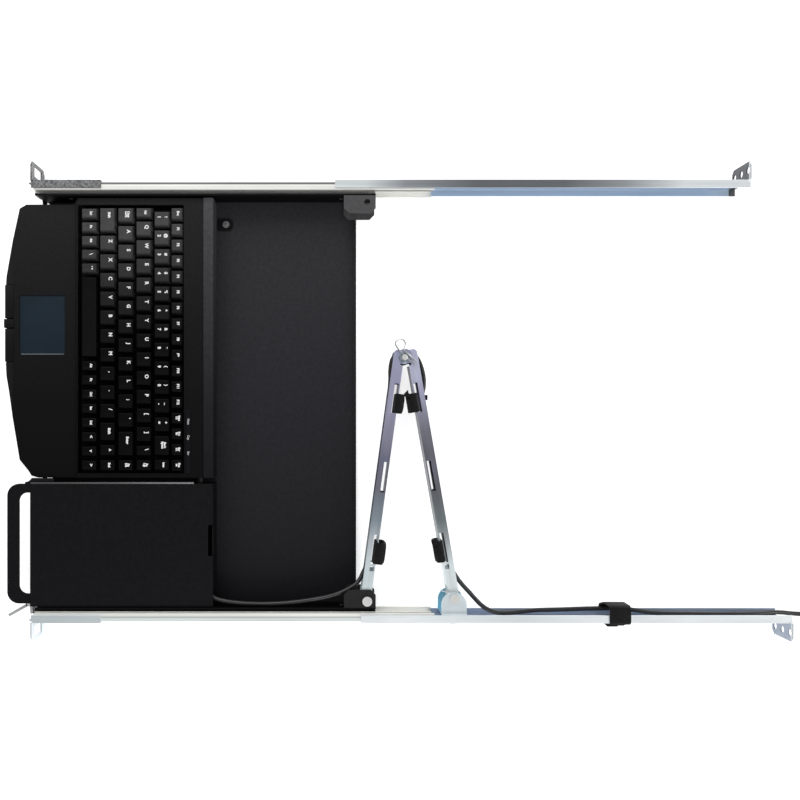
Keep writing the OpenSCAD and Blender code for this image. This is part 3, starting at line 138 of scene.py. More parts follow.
def new_finish(name, colour, metallic=0.0, roughness=0.5, specular=0.5):
    """A material whose shader has these plain values, ready for its texture nodes."""
    finish = bpy.data.materials.new(name)
    finish.use_nodes = True
    shader = finish.node_tree.nodes["Principled BSDF"]
    shader.inputs["Base Color"].default_value = (*colour, 1)
    shader.inputs["Metallic"].default_value = metallic
    shader.inputs["Roughness"].default_value = roughness
    shader.inputs["Specular IOR Level"].default_value = specular
    return finish, finish.node_tree, shader


def mottle(tree, shader, colours, scale, detail=4, stretch=(1, 1, 1)):
    """Colour that drifts between two tones over the surface."""
    place = put(tree, "ShaderNodeTexCoord")
    turn = put(tree, "ShaderNodeMapping", Scale=stretch)
    drift = put(tree, "ShaderNodeTexNoise", Scale=scale, Detail=detail, Roughness=0.55)
    ramp = put(tree, "ShaderNodeValToRGB")
    ramp.color_ramp.elements[0].position = 0.32
    ramp.color_ramp.elements[1].position = 0.68
    ramp.color_ramp.elements[0].color = (*colours[0], 1)
    ramp.color_ramp.elements[1].color = (*colours[1], 1)
    tree.links.new(place.outputs["Object"], turn.inputs["Vector"])
    tree.links.new(turn.outputs["Vector"], drift.inputs["Vector"])
    tree.links.new(drift.outputs["Fac"], ramp.inputs["Fac"])
    tree.links.new(ramp.outputs["Color"], shader.inputs["Base Color"])
    return ramp


def rub(tree, shader, low, high, scale, stretch=(1, 1, 1)):
    """Roughness that varies between two values."""
    place = put(tree, "ShaderNodeTexCoord")
    turn = put(tree, "ShaderNodeMapping", Scale=stretch)
    noise = put(tree, "ShaderNodeTexNoise", Scale=scale, Detail=3)
    span = put(tree, "ShaderNodeMapRange")
    span.inputs["To Min"].default_value = low
    span.inputs["To Max"].default_value = high
    tree.links.new(place.outputs["Object"], turn.inputs["Vector"])
    tree.links.new(turn.outputs["Vector"], noise.inputs["Vector"])
    tree.links.new(noise.outputs["Fac"], span.inputs["Value"])
    tree.links.new(span.outputs["Result"], shader.inputs["Roughness"])


def grain(tree, shader, scale, depth, strength=1.0, detail=2, stretch=(1, 1, 1), kind="noise"):
    """Fine relief of the surface; depth in metres."""
    place = put(tree, "ShaderNodeTexCoord")
    turn = put(tree, "ShaderNodeMapping", Scale=stretch)
    if kind == "noise":
        relief = put(tree, "ShaderNodeTexNoise", Scale=scale, Detail=detail)
        height = relief.outputs["Fac"]
    else:
        relief = put(tree, "ShaderNodeTexVoronoi", Scale=scale)
        height = relief.outputs["Distance"]
    bump = put(tree, "ShaderNodeBump", Distance=depth, Strength=strength)
    tree.links.new(place.outputs["Object"], turn.inputs["Vector"])
    tree.links.new(turn.outputs["Vector"], relief.inputs["Vector"])
    tree.links.new(height, bump.inputs["Height"])
    old = shader.inputs["Normal"].links
    if old:
        tree.links.new(old[0].from_socket, bump.inputs["Normal"])
    tree.links.new(bump.outputs["Normal"], shader.inputs["Normal"])


jacket, tree, shader = new_finish("lead_jacket", (0.012, 0.012, 0.013), roughness=0.34)
mottle(tree, shader, ((0.010, 0.010, 0.011), (0.018, 0.018, 0.019)), 60)
rub(tree, shader, 0.28, 0.42, 90)
grain(tree, shader, 900, 0.00004, 0.5)


def smooth(stops, step=0.006):
    """Points about one step apart on a smooth line through the stops."""
    points = []
    for i in range(len(stops) - 1):
        a, b = stops[max(i - 1, 0)], stops[i]
        c, d = stops[i + 1], stops[min(i + 2, len(stops) - 1)]
        count = max(1, round((c - b).length / step))
        for k in range(count):
            t = k / count
            points.append((2 * b + (c - a) * t + (2 * a - 5 * b + 4 * c - d) * t * t
                           + (3 * b - a - 3 * c + d) * t * t * t) / 2)
    points.append(stops[-1])
    return points


def tube(name, points, radius, finish, resolution=5):
    """A round cord along points, as a curve with a bevel."""
    bpy.ops.curve.primitive_nurbs_path_add(radius=1, location=(0, 0, 0))
    cord = bpy.context.object
    cord.name = name
    cord.data.splines.clear()
    line = cord.data.splines.new("POLY")
    line.points.add(len(points) - 1)
    for point, place in zip(line.points, points):
        point.co = (*place, 1)
    cord.data.dimensions = "3D"
    cord.data.twist_mode = "Z_UP"
    cord.data.bevel_depth = radius
    cord.data.bevel_resolution = resolution
    cord.data.use_fill_caps = True
    cord.data.materials.append(finish)
    return cord


# The coil winds inwards on the floor to turn_angle, then outwards on top of itself to end_angle.
LEAD_R = 0.0023
RAIL_END = (218.4, 764, 6.2)
coil_x, coil_y, coil_z, coil_r, pitch = 191.0, 824.0, 3.1, 30.0, 5.3
turn_angle, end_angle, rise_from, rise_over, angle_step = 810.0, 1530.0, 720.0, 180.0, 15.0
tail = [at(*RAIL_END), at(219, 772, 4.9), at(220.3, 782, 3.5), at(221, 795, coil_z),
        at(221, 818, coil_z), at(221, 824, coil_z)]
route = smooth(tail)
for step in range(1, int(end_angle / angle_step) + 1):
    angle = angle_step * step
    r = coil_r - pitch * min(angle, 2 * turn_angle - angle) / 360
    rise = pitch * min(1, max(0, (angle - rise_from) / rise_over))
    route.append(at(coil_x + r * math.cos(math.radians(angle)),
                    coil_y + r * math.sin(math.radians(angle)), coil_z + rise))
last = route[-1] * 1000
for run, drop in ((10, 0.5), (20, 2), (30, 3.6), (40, 4.4), (46, 4.4)):
    route.append(Vector((last.x - run, last.y, last.z - drop)) / 1000)
free_lead = tube("free_lead", route, LEAD_R, jacket)
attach(free_lead, "rails")
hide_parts("lead_tail", "lead_coil")

# Tie: a short black hook-and-loop tape once round both layers of the coil.
tape, tree, shader = new_finish("hook_and_loop_tape", (0.008, 0.008, 0.009), roughness=0.85, specular=0.2)
mottle(tree, shader, ((0.005, 0.005, 0.006), (0.014, 0.014, 0.015)), 700, 6)
grain(tree, shader, 1500, 0.0003, 0.9, 3)
grain(tree, shader, 420, 0.0004, 0.6, kind="voronoi")
shader.inputs["Sheen Weight"].default_value = 0.25
shader.inputs["Sheen Roughness"].default_value = 0.6


def hold(piece):
    """Make a piece the only one selected, and the active one."""
    bpy.ops.object.select_all(action="DESELECT")
    piece.select_set(True)
    bpy.context.view_layer.objects.active = piece


def soften(made, width, segments=2, angle=30):
    """Round the sharp edges of a piece, as pressing or moulding leaves them."""
    hold(made)
    soft = made.modifiers.new("soft_edge", "BEVEL")
    soft.width = width
    soft.segments = segments
    soft.limit_method = "ANGLE"
    soft.angle_limit = math.radians(angle)
    soft.use_clamp_overlap = True
    bpy.ops.object.modifier_apply(modifier="soft_edge")
    bpy.ops.object.shade_smooth_by_angle(angle=math.radians(40))
    return made


def empty_piece(name):
    """A piece without faces, and the list of faces that it is to be filled from."""
    bpy.ops.object.select_all(action="DESELECT")
    bpy.ops.mesh.primitive_plane_add(size=1, location=(0, 0, 0))
    made = bpy.context.object
    made.name = name
    made.data.clear_geometry()
    return made, bmesh.new()


def close_rings(made, body, rings, finish):
    """Skin a row of rings of points, cap both ends and put the result into the piece."""
    sides = len(rings[0])
    for one, two in zip(rings, rings[1:]):
        for k in range(sides):
            body.faces.new((one[k], one[(k + 1) % sides], two[(k + 1) % sides], two[k]))
    body.faces.new(rings[0][::-1])
    body.faces.new(rings[-1])
    bmesh.ops.recalc_face_normals(body, faces=body.faces)
    body.to_mesh(made.data)
    body.free()
    made.data.materials.append(finish)


def band(name, outline, width, thick, finish, round_end=True):
    """A flat tape bent along an outline of points, its free end cut round."""
    made, body = empty_piece(name)
    rings = []
    gone = [0.0]
    for one, two in zip(outline, outline[1:]):
        gone.append(gone[-1] + (two[0] - one[0]).length)
    for (place, out, along), run in zip(outline, gone):
        left = gone[-1] - run
        half = width / 2
        if round_end and left < half:
            half = max(math.sqrt(half ** 2 - (half - left) ** 2), 0.22 * width)
        rings.append([body.verts.new(place + out * h + along * w) for w, h in (
            (-half, 0), (half, 0), (half, thick), (-half, thick))])
    close_rings(made, body, rings, finish)
    return soften(made, thick * 0.3, 2, 50)


def wrap(low, high, corner, lift, turns=1.08, count=44):
    """Places and outward ways round a rounded rectangle, a little more than once, rising by lift."""
    wide, tall = high[0] - low[0], high[1] - low[1]
    corner = min(corner, wide / 2 - 1e-5, tall / 2 - 1e-5)
    sides = [("line", (low[0] + corner, low[1]), (high[0] - corner, low[1]), -90),
             ("arc", (high[0] - corner, low[1] + corner), None, -90),
             ("line", (high[0], low[1] + corner), (high[0], high[1] - corner), 0),
             ("arc", (high[0] - corner, high[1] - corner), None, 0),
             ("line", (high[0] - corner, high[1]), (low[0] + corner, high[1]), 90),
             ("arc", (low[0] + corner, high[1] - corner), None, 90),
             ("line", (low[0], high[1] - corner), (low[0], low[1] + corner), 180),
             ("arc", (low[0] + corner, low[1] + corner), None, 180)]
    lengths = [math.dist(s[1], s[2]) if s[0] == "line" else corner * math.pi / 2 for s in sides]
    whole = sum(lengths)
    result = []
    for i in range(count + 1):
        run = whole * turns * i / count
        over = lift * max(0.0, run / whole - 1 + 0.03) / max(turns - 1 + 0.03, 1e-6)
        run = run % whole
        for side, length in zip(sides, lengths):
            if run <= length:
                break
            run -= length
        if side[0] == "line":
            f = run / length if length > 1e-9 else 0
            x = side[1][0] + (side[2][0] - side[1][0]) * f
            y = side[1][1] + (side[2][1] - side[1][1]) * f
            way = math.radians(side[3])
        else:
            way = math.radians(side[3] + 90 * run / length)
            x = side[1][0] + corner * math.cos(way)
            y = side[1][1] + corner * math.sin(way)
        result.append((x + over * math.cos(way), y + over * math.sin(way), way))
    return result


outline = []
for r, z, way in wrap((17.3, 0.7), (28.6, 10.9), 2.4, 0.0, 1.0):
    outline.append((at(coil_x, coil_y - r, z), Vector((0, -math.cos(way), math.sin(way))),
                    Vector((1, 0, 0))))
coil_tape = band("coil_tape", outline, 0.012, 0.0007, tape, round_end=False)
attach(coil_tape, "rails")
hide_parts("coil_tie")

# Lead plug: a ribbed PVC grip moulded on the lead's end, round a folded tin-plated shell with its
# tongue inside. It lies flat beside the coil.
moulding, tree, shader = new_finish("plug_moulding", (0.014, 0.014, 0.015), roughness=0.5)
mottle(tree, shader, ((0.011, 0.011, 0.012), (0.02, 0.02, 0.021)), 80)
grain(tree, shader, 1200, 0.00005, 0.6)
shell_tin, tree, shader = new_finish("plug_shell_tin", (0.72, 0.72, 0.73), metallic=1, roughness=0.28)
rub(tree, shader, 0.2, 0.4, 120)
grain(tree, shader, 500, 0.00002, 0.4)


def choose(body, test, kind="FACE"):
    """Select in edit mode the faces, edges or points that pass a test."""
    mesh = bmesh.from_edit_mesh(body.data)
    for group in (mesh.verts, mesh.edges, mesh.faces):
        for one in group:
            one.select = False
    for one in {"FACE": mesh.faces, "EDGE": mesh.edges, "VERT": mesh.verts}[kind]:
        if test(one):
            one.select_set(True)
    bmesh.update_edit_mesh(body.data)


def block(name, low, high, finish):
    """A box between two corners given in millimetres, its place in its mesh."""
    bpy.ops.object.select_all(action="DESELECT")
    middle = (at(*low) + at(*high)) / 2
    bpy.ops.mesh.primitive_cube_add(size=1, location=middle)
    made = bpy.context.object
    made.name = name
    made.scale = at(*high) - at(*low)
    bpy.ops.object.transform_apply(location=True, rotation=True, scale=True)
    made.data.materials.append(finish)
    return made


def join(name, parts):
    """Make one piece of several."""
    bpy.ops.object.select_all(action="DESELECT")
    for part in parts:
        part.select_set(True)
    bpy.context.view_layer.objects.active = parts[0]
    bpy.ops.object.join()
    parts[0].name = name
    return parts[0]


grip = block("plug_grip", (117, 845.2, 0), (145, 860.2, 8), moulding)
bpy.ops.object.mode_set(mode="EDIT")
choose(grip, lambda f: f.normal.x > 0.9)
bpy.ops.mesh.inset(thickness=0.0022)
bpy.ops.transform.translate(value=(-0.0035, 0, 0))
grooves, groove_w = (122, 124.5, 127, 129.5, 132), 1
for x in grooves:
    for shift in (0, groove_w):
        bpy.ops.mesh.select_all(action="SELECT")
        bpy.ops.mesh.bisect(plane_co=at(x + shift, 0, 0), plane_no=(1, 0, 0))
choose(grip, lambda f: abs(f.normal.y) > 0.9 and any(
    abs(f.calc_center_median().x * 1000 - x - groove_w / 2) < 0.2 for x in grooves))
bpy.ops.mesh.inset(thickness=0.0, depth=-0.0006, use_individual=True)
bpy.ops.object.mode_set(mode="OBJECT")
soften(grip, 0.0005, 2, 50)
shell = block("plug_shell", (104.5, 846.6, 1.9), (118, 858.8, 6.4), shell_tin)
bpy.ops.object.mode_set(mode="EDIT")
choose(shell, lambda f: f.normal.x < -0.9)
bpy.ops.mesh.inset(thickness=0.0003)
bpy.ops.mesh.extrude_region_move(TRANSFORM_OT_translate={"value": (0.011, 0, 0)})
bpy.ops.object.mode_set(mode="OBJECT")
soften(shell, 0.00012, 1, 50)
tongue = block("plug_tongue", (105.5, 847.4, 4.1), (116, 858, 5.7), moulding)
bpy.ops.object.mode_set(mode="EDIT")
choose(tongue, lambda f: f.normal.x < -0.9)
bpy.ops.mesh.inset(thickness=0.0003)
bpy.ops.transform.translate(value=(-0.0003, 0, 0))
bpy.ops.object.mode_set(mode="OBJECT")
plug = join("plug", [grip, shell, tongue])
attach(plug, "rails")
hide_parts("lead_plug")

# Fixed lead: from the keyboard's sleeve across the platform, back along the tray's right side,
# through both cable arms with a loose loop at their pin, and out along the right rear rail.


def fixed_lead(name, stops):
    """A stretch of the same lead as a mesh tube."""
    cord = tube(name, smooth(stops), LEAD_R, jacket)
    hold(cord)
    bpy.ops.object.convert(target="MESH")
    bpy.ops.object.shade_smooth_by_angle(angle=math.radians(60))
    return cord


# The arms: where their common pin stands, which way each one points and how far it reaches.
APEX = Vector((-44.308, 375.181))
FRONT_WAY, REAR_WAY = math.radians(-8.7556), math.radians(11.6263)
BISECTOR = math.radians(1.435)
ARM_LENGTH = 248.2


def on_front(u, v, z=21):
    """A point of the front arm: u along it from the apex pin, v towards the other arm."""
    return at(APEX.x + u * math.cos(FRONT_WAY) - v * math.sin(FRONT_WAY),
              APEX.y + u * math.sin(FRONT_WAY) + v * math.cos(FRONT_WAY), z)


def on_rear(u, v, z=21):
    """The same for the rear arm."""
    return at(APEX.x + u * math.cos(REAR_WAY) + v * math.sin(REAR_WAY),
              APEX.y + u * math.sin(REAR_WAY) - v * math.cos(REAR_WAY), z)


def near_apex(p, q, z=21):
    """A point by the apex pin, p along the line halfway between the arms."""
    return at(APEX.x + p * math.cos(BISECTOR) - q * math.sin(BISECTOR),
              APEX.y + p * math.sin(BISECTOR) + q * math.cos(BISECTOR), z)


tray_stops = [at(*p) for p in (
    (86, 165, 10.25), (100, 165, 10.8), (130, 167, 14), (165, 170, 20), (190, 174, 27),
    (199.5, 184, 30.5), (203.5, 205, 31.5), (204.8, 230, 31.5), (204.2, 250, 31.5),
    (202.3, 270, 31), (198, 297, 30), (192, 315, 28.5), (184, 328, 26.5), (175, 333.5, 24),
    (168, 337, 22.5))]
front_stops = [on_front(u, v) for u, v in (
    (205, -4.8), (180, -5.3), (140, -5.8), (100, -6.3), (60, -7.3), (36, -8.8))]
loop_stops = [near_apex(p, q) for p, q in (
    (19.6, -13.8), (13.4, -13.8), (7.3, -13.2), (1.7, -11.9), (-2.9, -9.4), (-6.2, -4.9), (-7.4, 0.8),
    (-6.7, 6.9), (-3.8, 11.9), (2.9, 15.8), (12.2, 18.9), (22.5, 20.4), (31.7, 19.6), (38.8, 17.6))]
rear_stops = [on_rear(u, v) for u, v in (
    (52.6, -9.4), (72, -8.2), (100, -7.3), (140, -6.2), (180, -5.2), (205, -4.3))]
rail_stops = [at(*p) for p in (
    (168, 423, 20), (183.5, 432.5, 18), (196, 443.5, 16.5), (208.5, 455, 15), (214.6, 464, 14.2),
    (217.6, 474, 13.2), (218.1, 485, 11.2), (217.3, 498, 8.6), (216.1, 515, 6.6), (215.4, 543, 6.2),
    (214.5, 571, 6.2), (214.4, 600, 6.3), (216.2, 619, 8.0), (218.2, 640, 12.5), (218.5, 690, 15.5),
    (218.5, 735, 14.5), RAIL_END)]
lead_in_tray = fixed_lead("lead_in_tray", tray_stops + front_stops[:2])
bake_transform(lead_in_tray)
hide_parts("lead_tray")
lead_at_apex = fixed_lead("lead_at_apex", front_stops[1:] + loop_stops + rear_stops[:2])
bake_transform(lead_at_apex)
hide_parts("lead_front_arm")
lead_in_rear_arm = fixed_lead("lead_in_rear_arm", rear_stops[1:] + rail_stops[:3])
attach(lead_in_rear_arm, "arm_rear")
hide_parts("lead_rear_arm")
lead_on_rail = fixed_lead("lead_on_rail", rail_stops[2:])
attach(lead_on_rail, "rails")
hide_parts("lead_rail")

# Straps: woven black nylon hook-and-loop tape, 1.3 mm thick. Two hold the lead in each arm, threaded
# through the slots beside the web, and one goes round the right rear rail.
strap_web, tree, shader = new_finish("strap_web", (0.006, 0.006, 0.006), roughness=0.85, specular=0.1)
mottle(tree, shader, ((0.003, 0.003, 0.003), (0.009, 0.009, 0.009)), 500, 6)
grain(tree, shader, 1100, 0.0004, 0.9, 3)
grain(tree, shader, 330, 0.0004, 0.5, kind="voronoi")
shader.inputs["Sheen Weight"].default_value = 0.08
shader.inputs["Sheen Roughness"].default_value = 0.55


TAPE_THICK = 0.0013


def channel_point(u, v, z, front):
    """A point in the frame of an arm's channel, which lies slightly askew to its pivots."""
    near, far = (-6, -1.7) if front else (-8.4, -0.6)
    askew = math.atan2(far - near, ARM_LENGTH)
    along = u * math.cos(askew) - v * math.sin(askew)
    over = near + u * math.sin(askew) + v * math.cos(askew)
    return (on_front if front else on_rear)(along, over, z)


def strap_round(name, share, width, low, high, z0, z1, front):
    """A strap round an arm's web, its end lapped over itself on the side of the other arm."""
    u = ARM_LENGTH * share
    middle = channel_point(u, 0, 20, front)
    across = (channel_point(u, 1, 20, front) - middle).normalized()
    along = (channel_point(u + 1, 0, 20, front) - middle).normalized()
    outline = []
    for z, v, way in wrap((z0 - 0.5, -high), (z1 + 0.5, -low), 2.9, 1.35, 1.36, 60):
        outline.append((channel_point(u, -v, z, front),
                        Vector((0, 0, 1)) * math.cos(way) - across * math.sin(way), along))
    return band(name, outline, width, TAPE_THICK, strap_web)


def plate(name, outline, low, high, finish, edge=0.0003):
    """A flat piece of sheet with the given outline of (x, y) points in millimetres."""
    made, body = empty_piece(name)
    body.faces.new([body.verts.new(at(x, y, low)) for x, y in outline])
    body.to_mesh(made.data)
    body.free()
    bpy.ops.object.mode_set(mode="EDIT")
    bpy.ops.mesh.select_all(action="SELECT")
    bpy.ops.mesh.extrude_region_move(TRANSFORM_OT_translate={"value": (0, 0, (high - low) / 1000)})
    bpy.ops.mesh.select_all(action="SELECT")
    bpy.ops.mesh.normals_make_consistent(inside=False)
    bpy.ops.object.mode_set(mode="OBJECT")
    made.data.materials.append(finish)
    return soften(made, edge, 2, 40)


def strap_ends():
    """Loose ends of the rear arm's straps: a pointed flap, a stub outside and a lapped end."""
    ends = []
    for low, high, outline in (
            (36.6, 37.7, ((36.6, -1.8), (32.5, 2.6), (35.4, 2.9), (38.3, 4.9), (39.5, 4.5), (39.5, -0.9))),
            (28.0, 32.0, ((38.0, 20.0), (38.2, 22.8), (43.5, 22.4), (43.0, 20.0))),
            (36.6, 38.0, ((184.7, 21.9), (183.3, 27.3), (189.7, 28.2), (189.3, 22.8)))):
        places = [near_apex(p, q) * 1000 for p, q in outline]
        ends.append(plate("strap_end", [(p.x, p.y + EARS_TO_ORIGIN) for p in places], low, high, strap_web))
    return ends


for arm, z0, z1, sizes in (
        ("front", 6.8, 36.7, ((0.1884, 0.0195, 3.4, 9.4), (0.8037, 0.0217, 3.4, 11.2))),
        ("rear", 8.5, 35.0, ((0.1884, 0.0195, 3.4, 11.0), (0.8037, 0.0217, 3.4, 9.7)))):
    pair = [strap_round(f"{arm}_strap_{k}", share, width, low, high, z0, z1, arm == "front")
            for k, (share, width, low, high) in enumerate(sizes)]
    if arm == "rear":
        pair += strap_ends()
    straps = join(f"{arm}_arm_hold_straps", pair)
    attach(straps, f"arm_{arm}")
    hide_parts(f"{arm}_arm_straps")
outline = []
for z, x, way in wrap((2.0, -223.2), (41.7, -206.4), 3.0, 1.35, 1.3, 60):
    x -= 5 * max(0, 1 - z / 19) * max(0, min(1, (x + 222) / 8))
    outline.append((at(-x, 591, z), Vector((-math.sin(way), 0, math.cos(way))), Vector((0, 1, 0))))
rail_band = band("rail_hold_strap", outline, 0.0215, TAPE_THICK, strap_web)
rail_band = join("rail_hold_strap", [rail_band, plate(
    "strap_end", ((223.6, 576), (228.2, 581.5), (228.2, 592), (223.6, 592)), 29.4, 30.6, strap_web)])
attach(rail_band, "rails")
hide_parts("rail_strap")

# Rail brackets: 1.5 mm steel sheet, blue-passivated zinc plate, folded into a U with an ear for the
# rack post. The front one is a short angle with a mottled coat; the rear one is a long channel.


def plated(name, tones, roughness, metallic=0.85, streak=(1, 1, 1), scale=38):
    """Zinc plate: a cloudy blue-white metal with fine drawing lines along the sheet."""
    finish, tree, shader = new_finish(name, tones[0], metallic=metallic, roughness=roughness[0])
    mottle(tree, shader, tones, scale, 6, streak)
    rub(tree, shader, roughness[0], roughness[1], 60, streak)
    grain(tree, shader, 260, 0.00006, 0.5, 4, streak)
    return finish


def tinted(finish, axis, stops, mirrored=False, stepped=False, above=None, below=None):
    """Multiply a finish's colour by tones that change along one of the object's own axes, all over
    or only above or below a height."""
    tree = finish.node_tree
    shader = tree.nodes["Principled BSDF"]
    place = put(tree, "ShaderNodeTexCoord")
    split = put(tree, "ShaderNodeSeparateXYZ")
    tree.links.new(place.outputs["Object"], split.inputs["Vector"])
    where = split.outputs[axis]
    if mirrored:
        size = put(tree, "ShaderNodeMath", operation="ABSOLUTE")
        tree.links.new(where, size.inputs[0])
        where = size.outputs[0]
    low, high = stops[0][0], stops[-1][0]
    span = put(tree, "ShaderNodeMapRange")
    span.inputs["From Min"].default_value = low
    span.inputs["From Max"].default_value = high
    tree.links.new(where, span.inputs["Value"])
    ramp = put(tree, "ShaderNodeValToRGB")
    ramp.color_ramp.interpolation = "CONSTANT" if stepped else "LINEAR"
    for k, (value, tone) in enumerate(stops):
        part = (value - low) / (high - low)
        if k < 2:
            stop = ramp.color_ramp.elements[k]
            stop.position = part
        else:
            stop = ramp.color_ramp.elements.new(part)
        stop.color = (*tone, 1)
    tree.links.new(span.outputs["Result"], ramp.inputs["Fac"])
    blend = put(tree, "ShaderNodeMix", data_type="RGBA", blend_type="MULTIPLY")
    blend.inputs[0].default_value = 1.0
    if above is not None or below is not None:
        part = put(tree, "ShaderNodeMath", operation="LESS_THAN" if above is None else "GREATER_THAN")
        part.inputs[1].default_value = below if above is None else above
        tree.links.new(split.outputs[2], part.inputs[0])
        tree.links.new(part.outputs[0], blend.inputs[0])
    old = shader.inputs["Base Color"].links[0].from_socket
    tree.links.new(old, blend.inputs[6])
    tree.links.new(ramp.outputs["Color"], blend.inputs[7])
    tree.links.new(blend.outputs[2], shader.inputs["Base Color"])
    return finish


def clothe(node, finish, edge=0.00025):
    """Give a CAD node its material and, by modifiers, the soft edges of folded sheet."""
    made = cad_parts[node]
    made.data.materials.clear()
    made.data.materials.append(finish)
    if edge:
        weld = made.modifiers.new("weld", "WELD")
        weld.merge_threshold = 0.00001
        soft = made.modifiers.new("soft_edge", "BEVEL")
        soft.width = edge
        soft.segments = 2
        soft.limit_method = "ANGLE"
        soft.angle_limit = math.radians(35)
        soft.use_clamp_overlap = True
    return made


bracket_zinc = plated("bracket_zinc", ((0.62, 0.68, 0.71), (0.76, 0.82, 0.85)), (0.3, 0.46),
                      streak=(1.5, 0.25, 1.5))
ear_zinc = plated("front_bracket_zinc", ((0.06, 0.062, 0.064), (0.26, 0.265, 0.27)), (0.34, 0.55),
                  scale=420)
grain(ear_zinc.node_tree, ear_zinc.node_tree.nodes["Principled BSDF"], 420, 0.0003, 0.6, 3)
clothe("right_front_bracket", bracket_zinc)
clothe("left_front_bracket", ear_zinc)
# Tone tables give a place along one axis in metres and the tone from there on. A rail's ear and its
# inside below the top flange are painted darker: painted shade.
RAIL_TONES = ((0.80, 0.85, 0.87), (0.94, 0.98, 1.0))
RAIL_FLANGE_Z = 0.0405
EAR_TONE = ((0.2000, (1, 1, 1)), (0.2228, (0.60, 0.60, 0.60)), (0.2500, (0.60, 0.60, 0.60)))
right_rail = plated("right_rail_zinc", RAIL_TONES, (0.3, 0.46), streak=(1.5, 0.25, 1.5))
tinted(right_rail, 0, EAR_TONE, mirrored=True, stepped=True)
tinted(right_rail, 2, ((0.0, (0.54, 0.59, 0.70)), (0.036, (0.56, 0.60, 0.71))), below=RAIL_FLANGE_Z)
clothe("right_rear_bracket", right_rail)
left_rail = plated("left_rail_zinc", RAIL_TONES, (0.3, 0.46), streak=(4, 0.1, 4), scale=90)
tinted(left_rail, 0, EAR_TONE, mirrored=True, stepped=True)
# The left rail's top is painted darker along its middle stretch, and its inside below the top flange is
# painted shade, darkest towards its rear end.
tinted(left_rail, 1, ((-0.10, (0.85, 0.85, 0.85)), (-0.03, (0.80, 0.80, 0.80)), (0.01, (0.36, 0.36, 0.38)),
                      (0.08, (0.19, 0.19, 0.20)), (0.17, (0.21, 0.21, 0.22)), (0.23, (0.44, 0.44, 0.45)),
                      (0.265, (0.75, 0.75, 0.76)), (0.29, (1, 1, 1))), above=RAIL_FLANGE_Z)
tinted(left_rail, 1, ((-0.10, (0.565, 0.64, 0.75)), (0.3495, (0.14, 0.14, 0.15)),
                      (0.38, (0.14, 0.14, 0.15))), stepped=True, below=RAIL_FLANGE_Z)
clothe("left_rear_bracket", left_rail)

# Slides: three rolled steel members a side, running in each other on two rows of balls. They are
# cream-white zinc plate. Along X they carry painted shade, on the tops of the outer and middle members
# and all over the inner ones: thin dark lines at the members' edges are painted shadow, the left
# side's inner and middle members are painted darker than the right's, and the inner members are
# painted black next to the tray's walls as a painted shadow gap.
OUTER_SLIDE_SHADE = ((-0.2216, (0.70, 0.72, 0.74)), (-0.2204, (0.20, 0.20, 0.21)), (-0.2193, (0.7, 0.7, 0.7)),
               (-0.2183, (1, 1, 1)), (-0.2164, (0.95, 0.95, 0.95)), (-0.2144, (0.95, 0.95, 0.95)),
               (-0.2132, (0.30, 0.30, 0.30)), (0.2100, (1, 1, 1)), (0.2146, (0.34, 0.35, 0.35)),
               (0.2155, (0.62, 0.66, 0.68)), (0.2163, (0.86, 0.93, 0.97)), (0.2300, (0.86, 0.93, 0.97)))
MIDDLE_SLIDE_SHADE = ((-0.2216, (0.95, 0.95, 0.95)), (-0.2138, (0.42, 0.42, 0.42)), (0.2100, (1, 1, 1)),
                (0.2300, (1, 1, 1)))
INNER_SLIDE_SHADE = ((-0.2216, (0.60, 0.60, 0.59)), (-0.2122, (0.006, 0.006, 0.006)), (0.2113, (1, 1, 1)),
               (0.2300, (1, 1, 1)))
SLIDE_STREAK = (2, 0.15, 2)
WHITE_PLATE = ((0.78, 0.78, 0.74), (0.92, 0.92, 0.88))
BRIGHT_PLATE = ((0.88, 0.88, 0.85), (0.97, 0.97, 0.94))
for member, name, plate_tones, roughness, metallic, tones, above in (
        ("outer", "slide_steel", WHITE_PLATE, (0.3, 0.46), 0.5, OUTER_SLIDE_SHADE, 0.036),
        ("middle", "inner_slide_steel", BRIGHT_PLATE, (0.3, 0.44), 0.85, MIDDLE_SLIDE_SHADE, 0.033),
        ("inner", "painted_shadow_slide_steel", BRIGHT_PLATE, (0.34, 0.5), 0.8, INNER_SLIDE_SHADE, None)):
    slide_steel = plated(name, plate_tones, roughness, metallic, SLIDE_STREAK)
    tinted(slide_steel, 0, tones, stepped=True, above=above)
    for side in ("left", "right"):
        clothe(f"{side}_{member}_slide", slide_steel, 0.0002)
ball_steel = plated("bearing_steel", ((0.5, 0.5, 0.51), (0.66, 0.66, 0.67)), (0.18, 0.3), 1.0)
for node in ("outer_bearings", "inner_bearings"):
    clothe(node, ball_steel, 0)

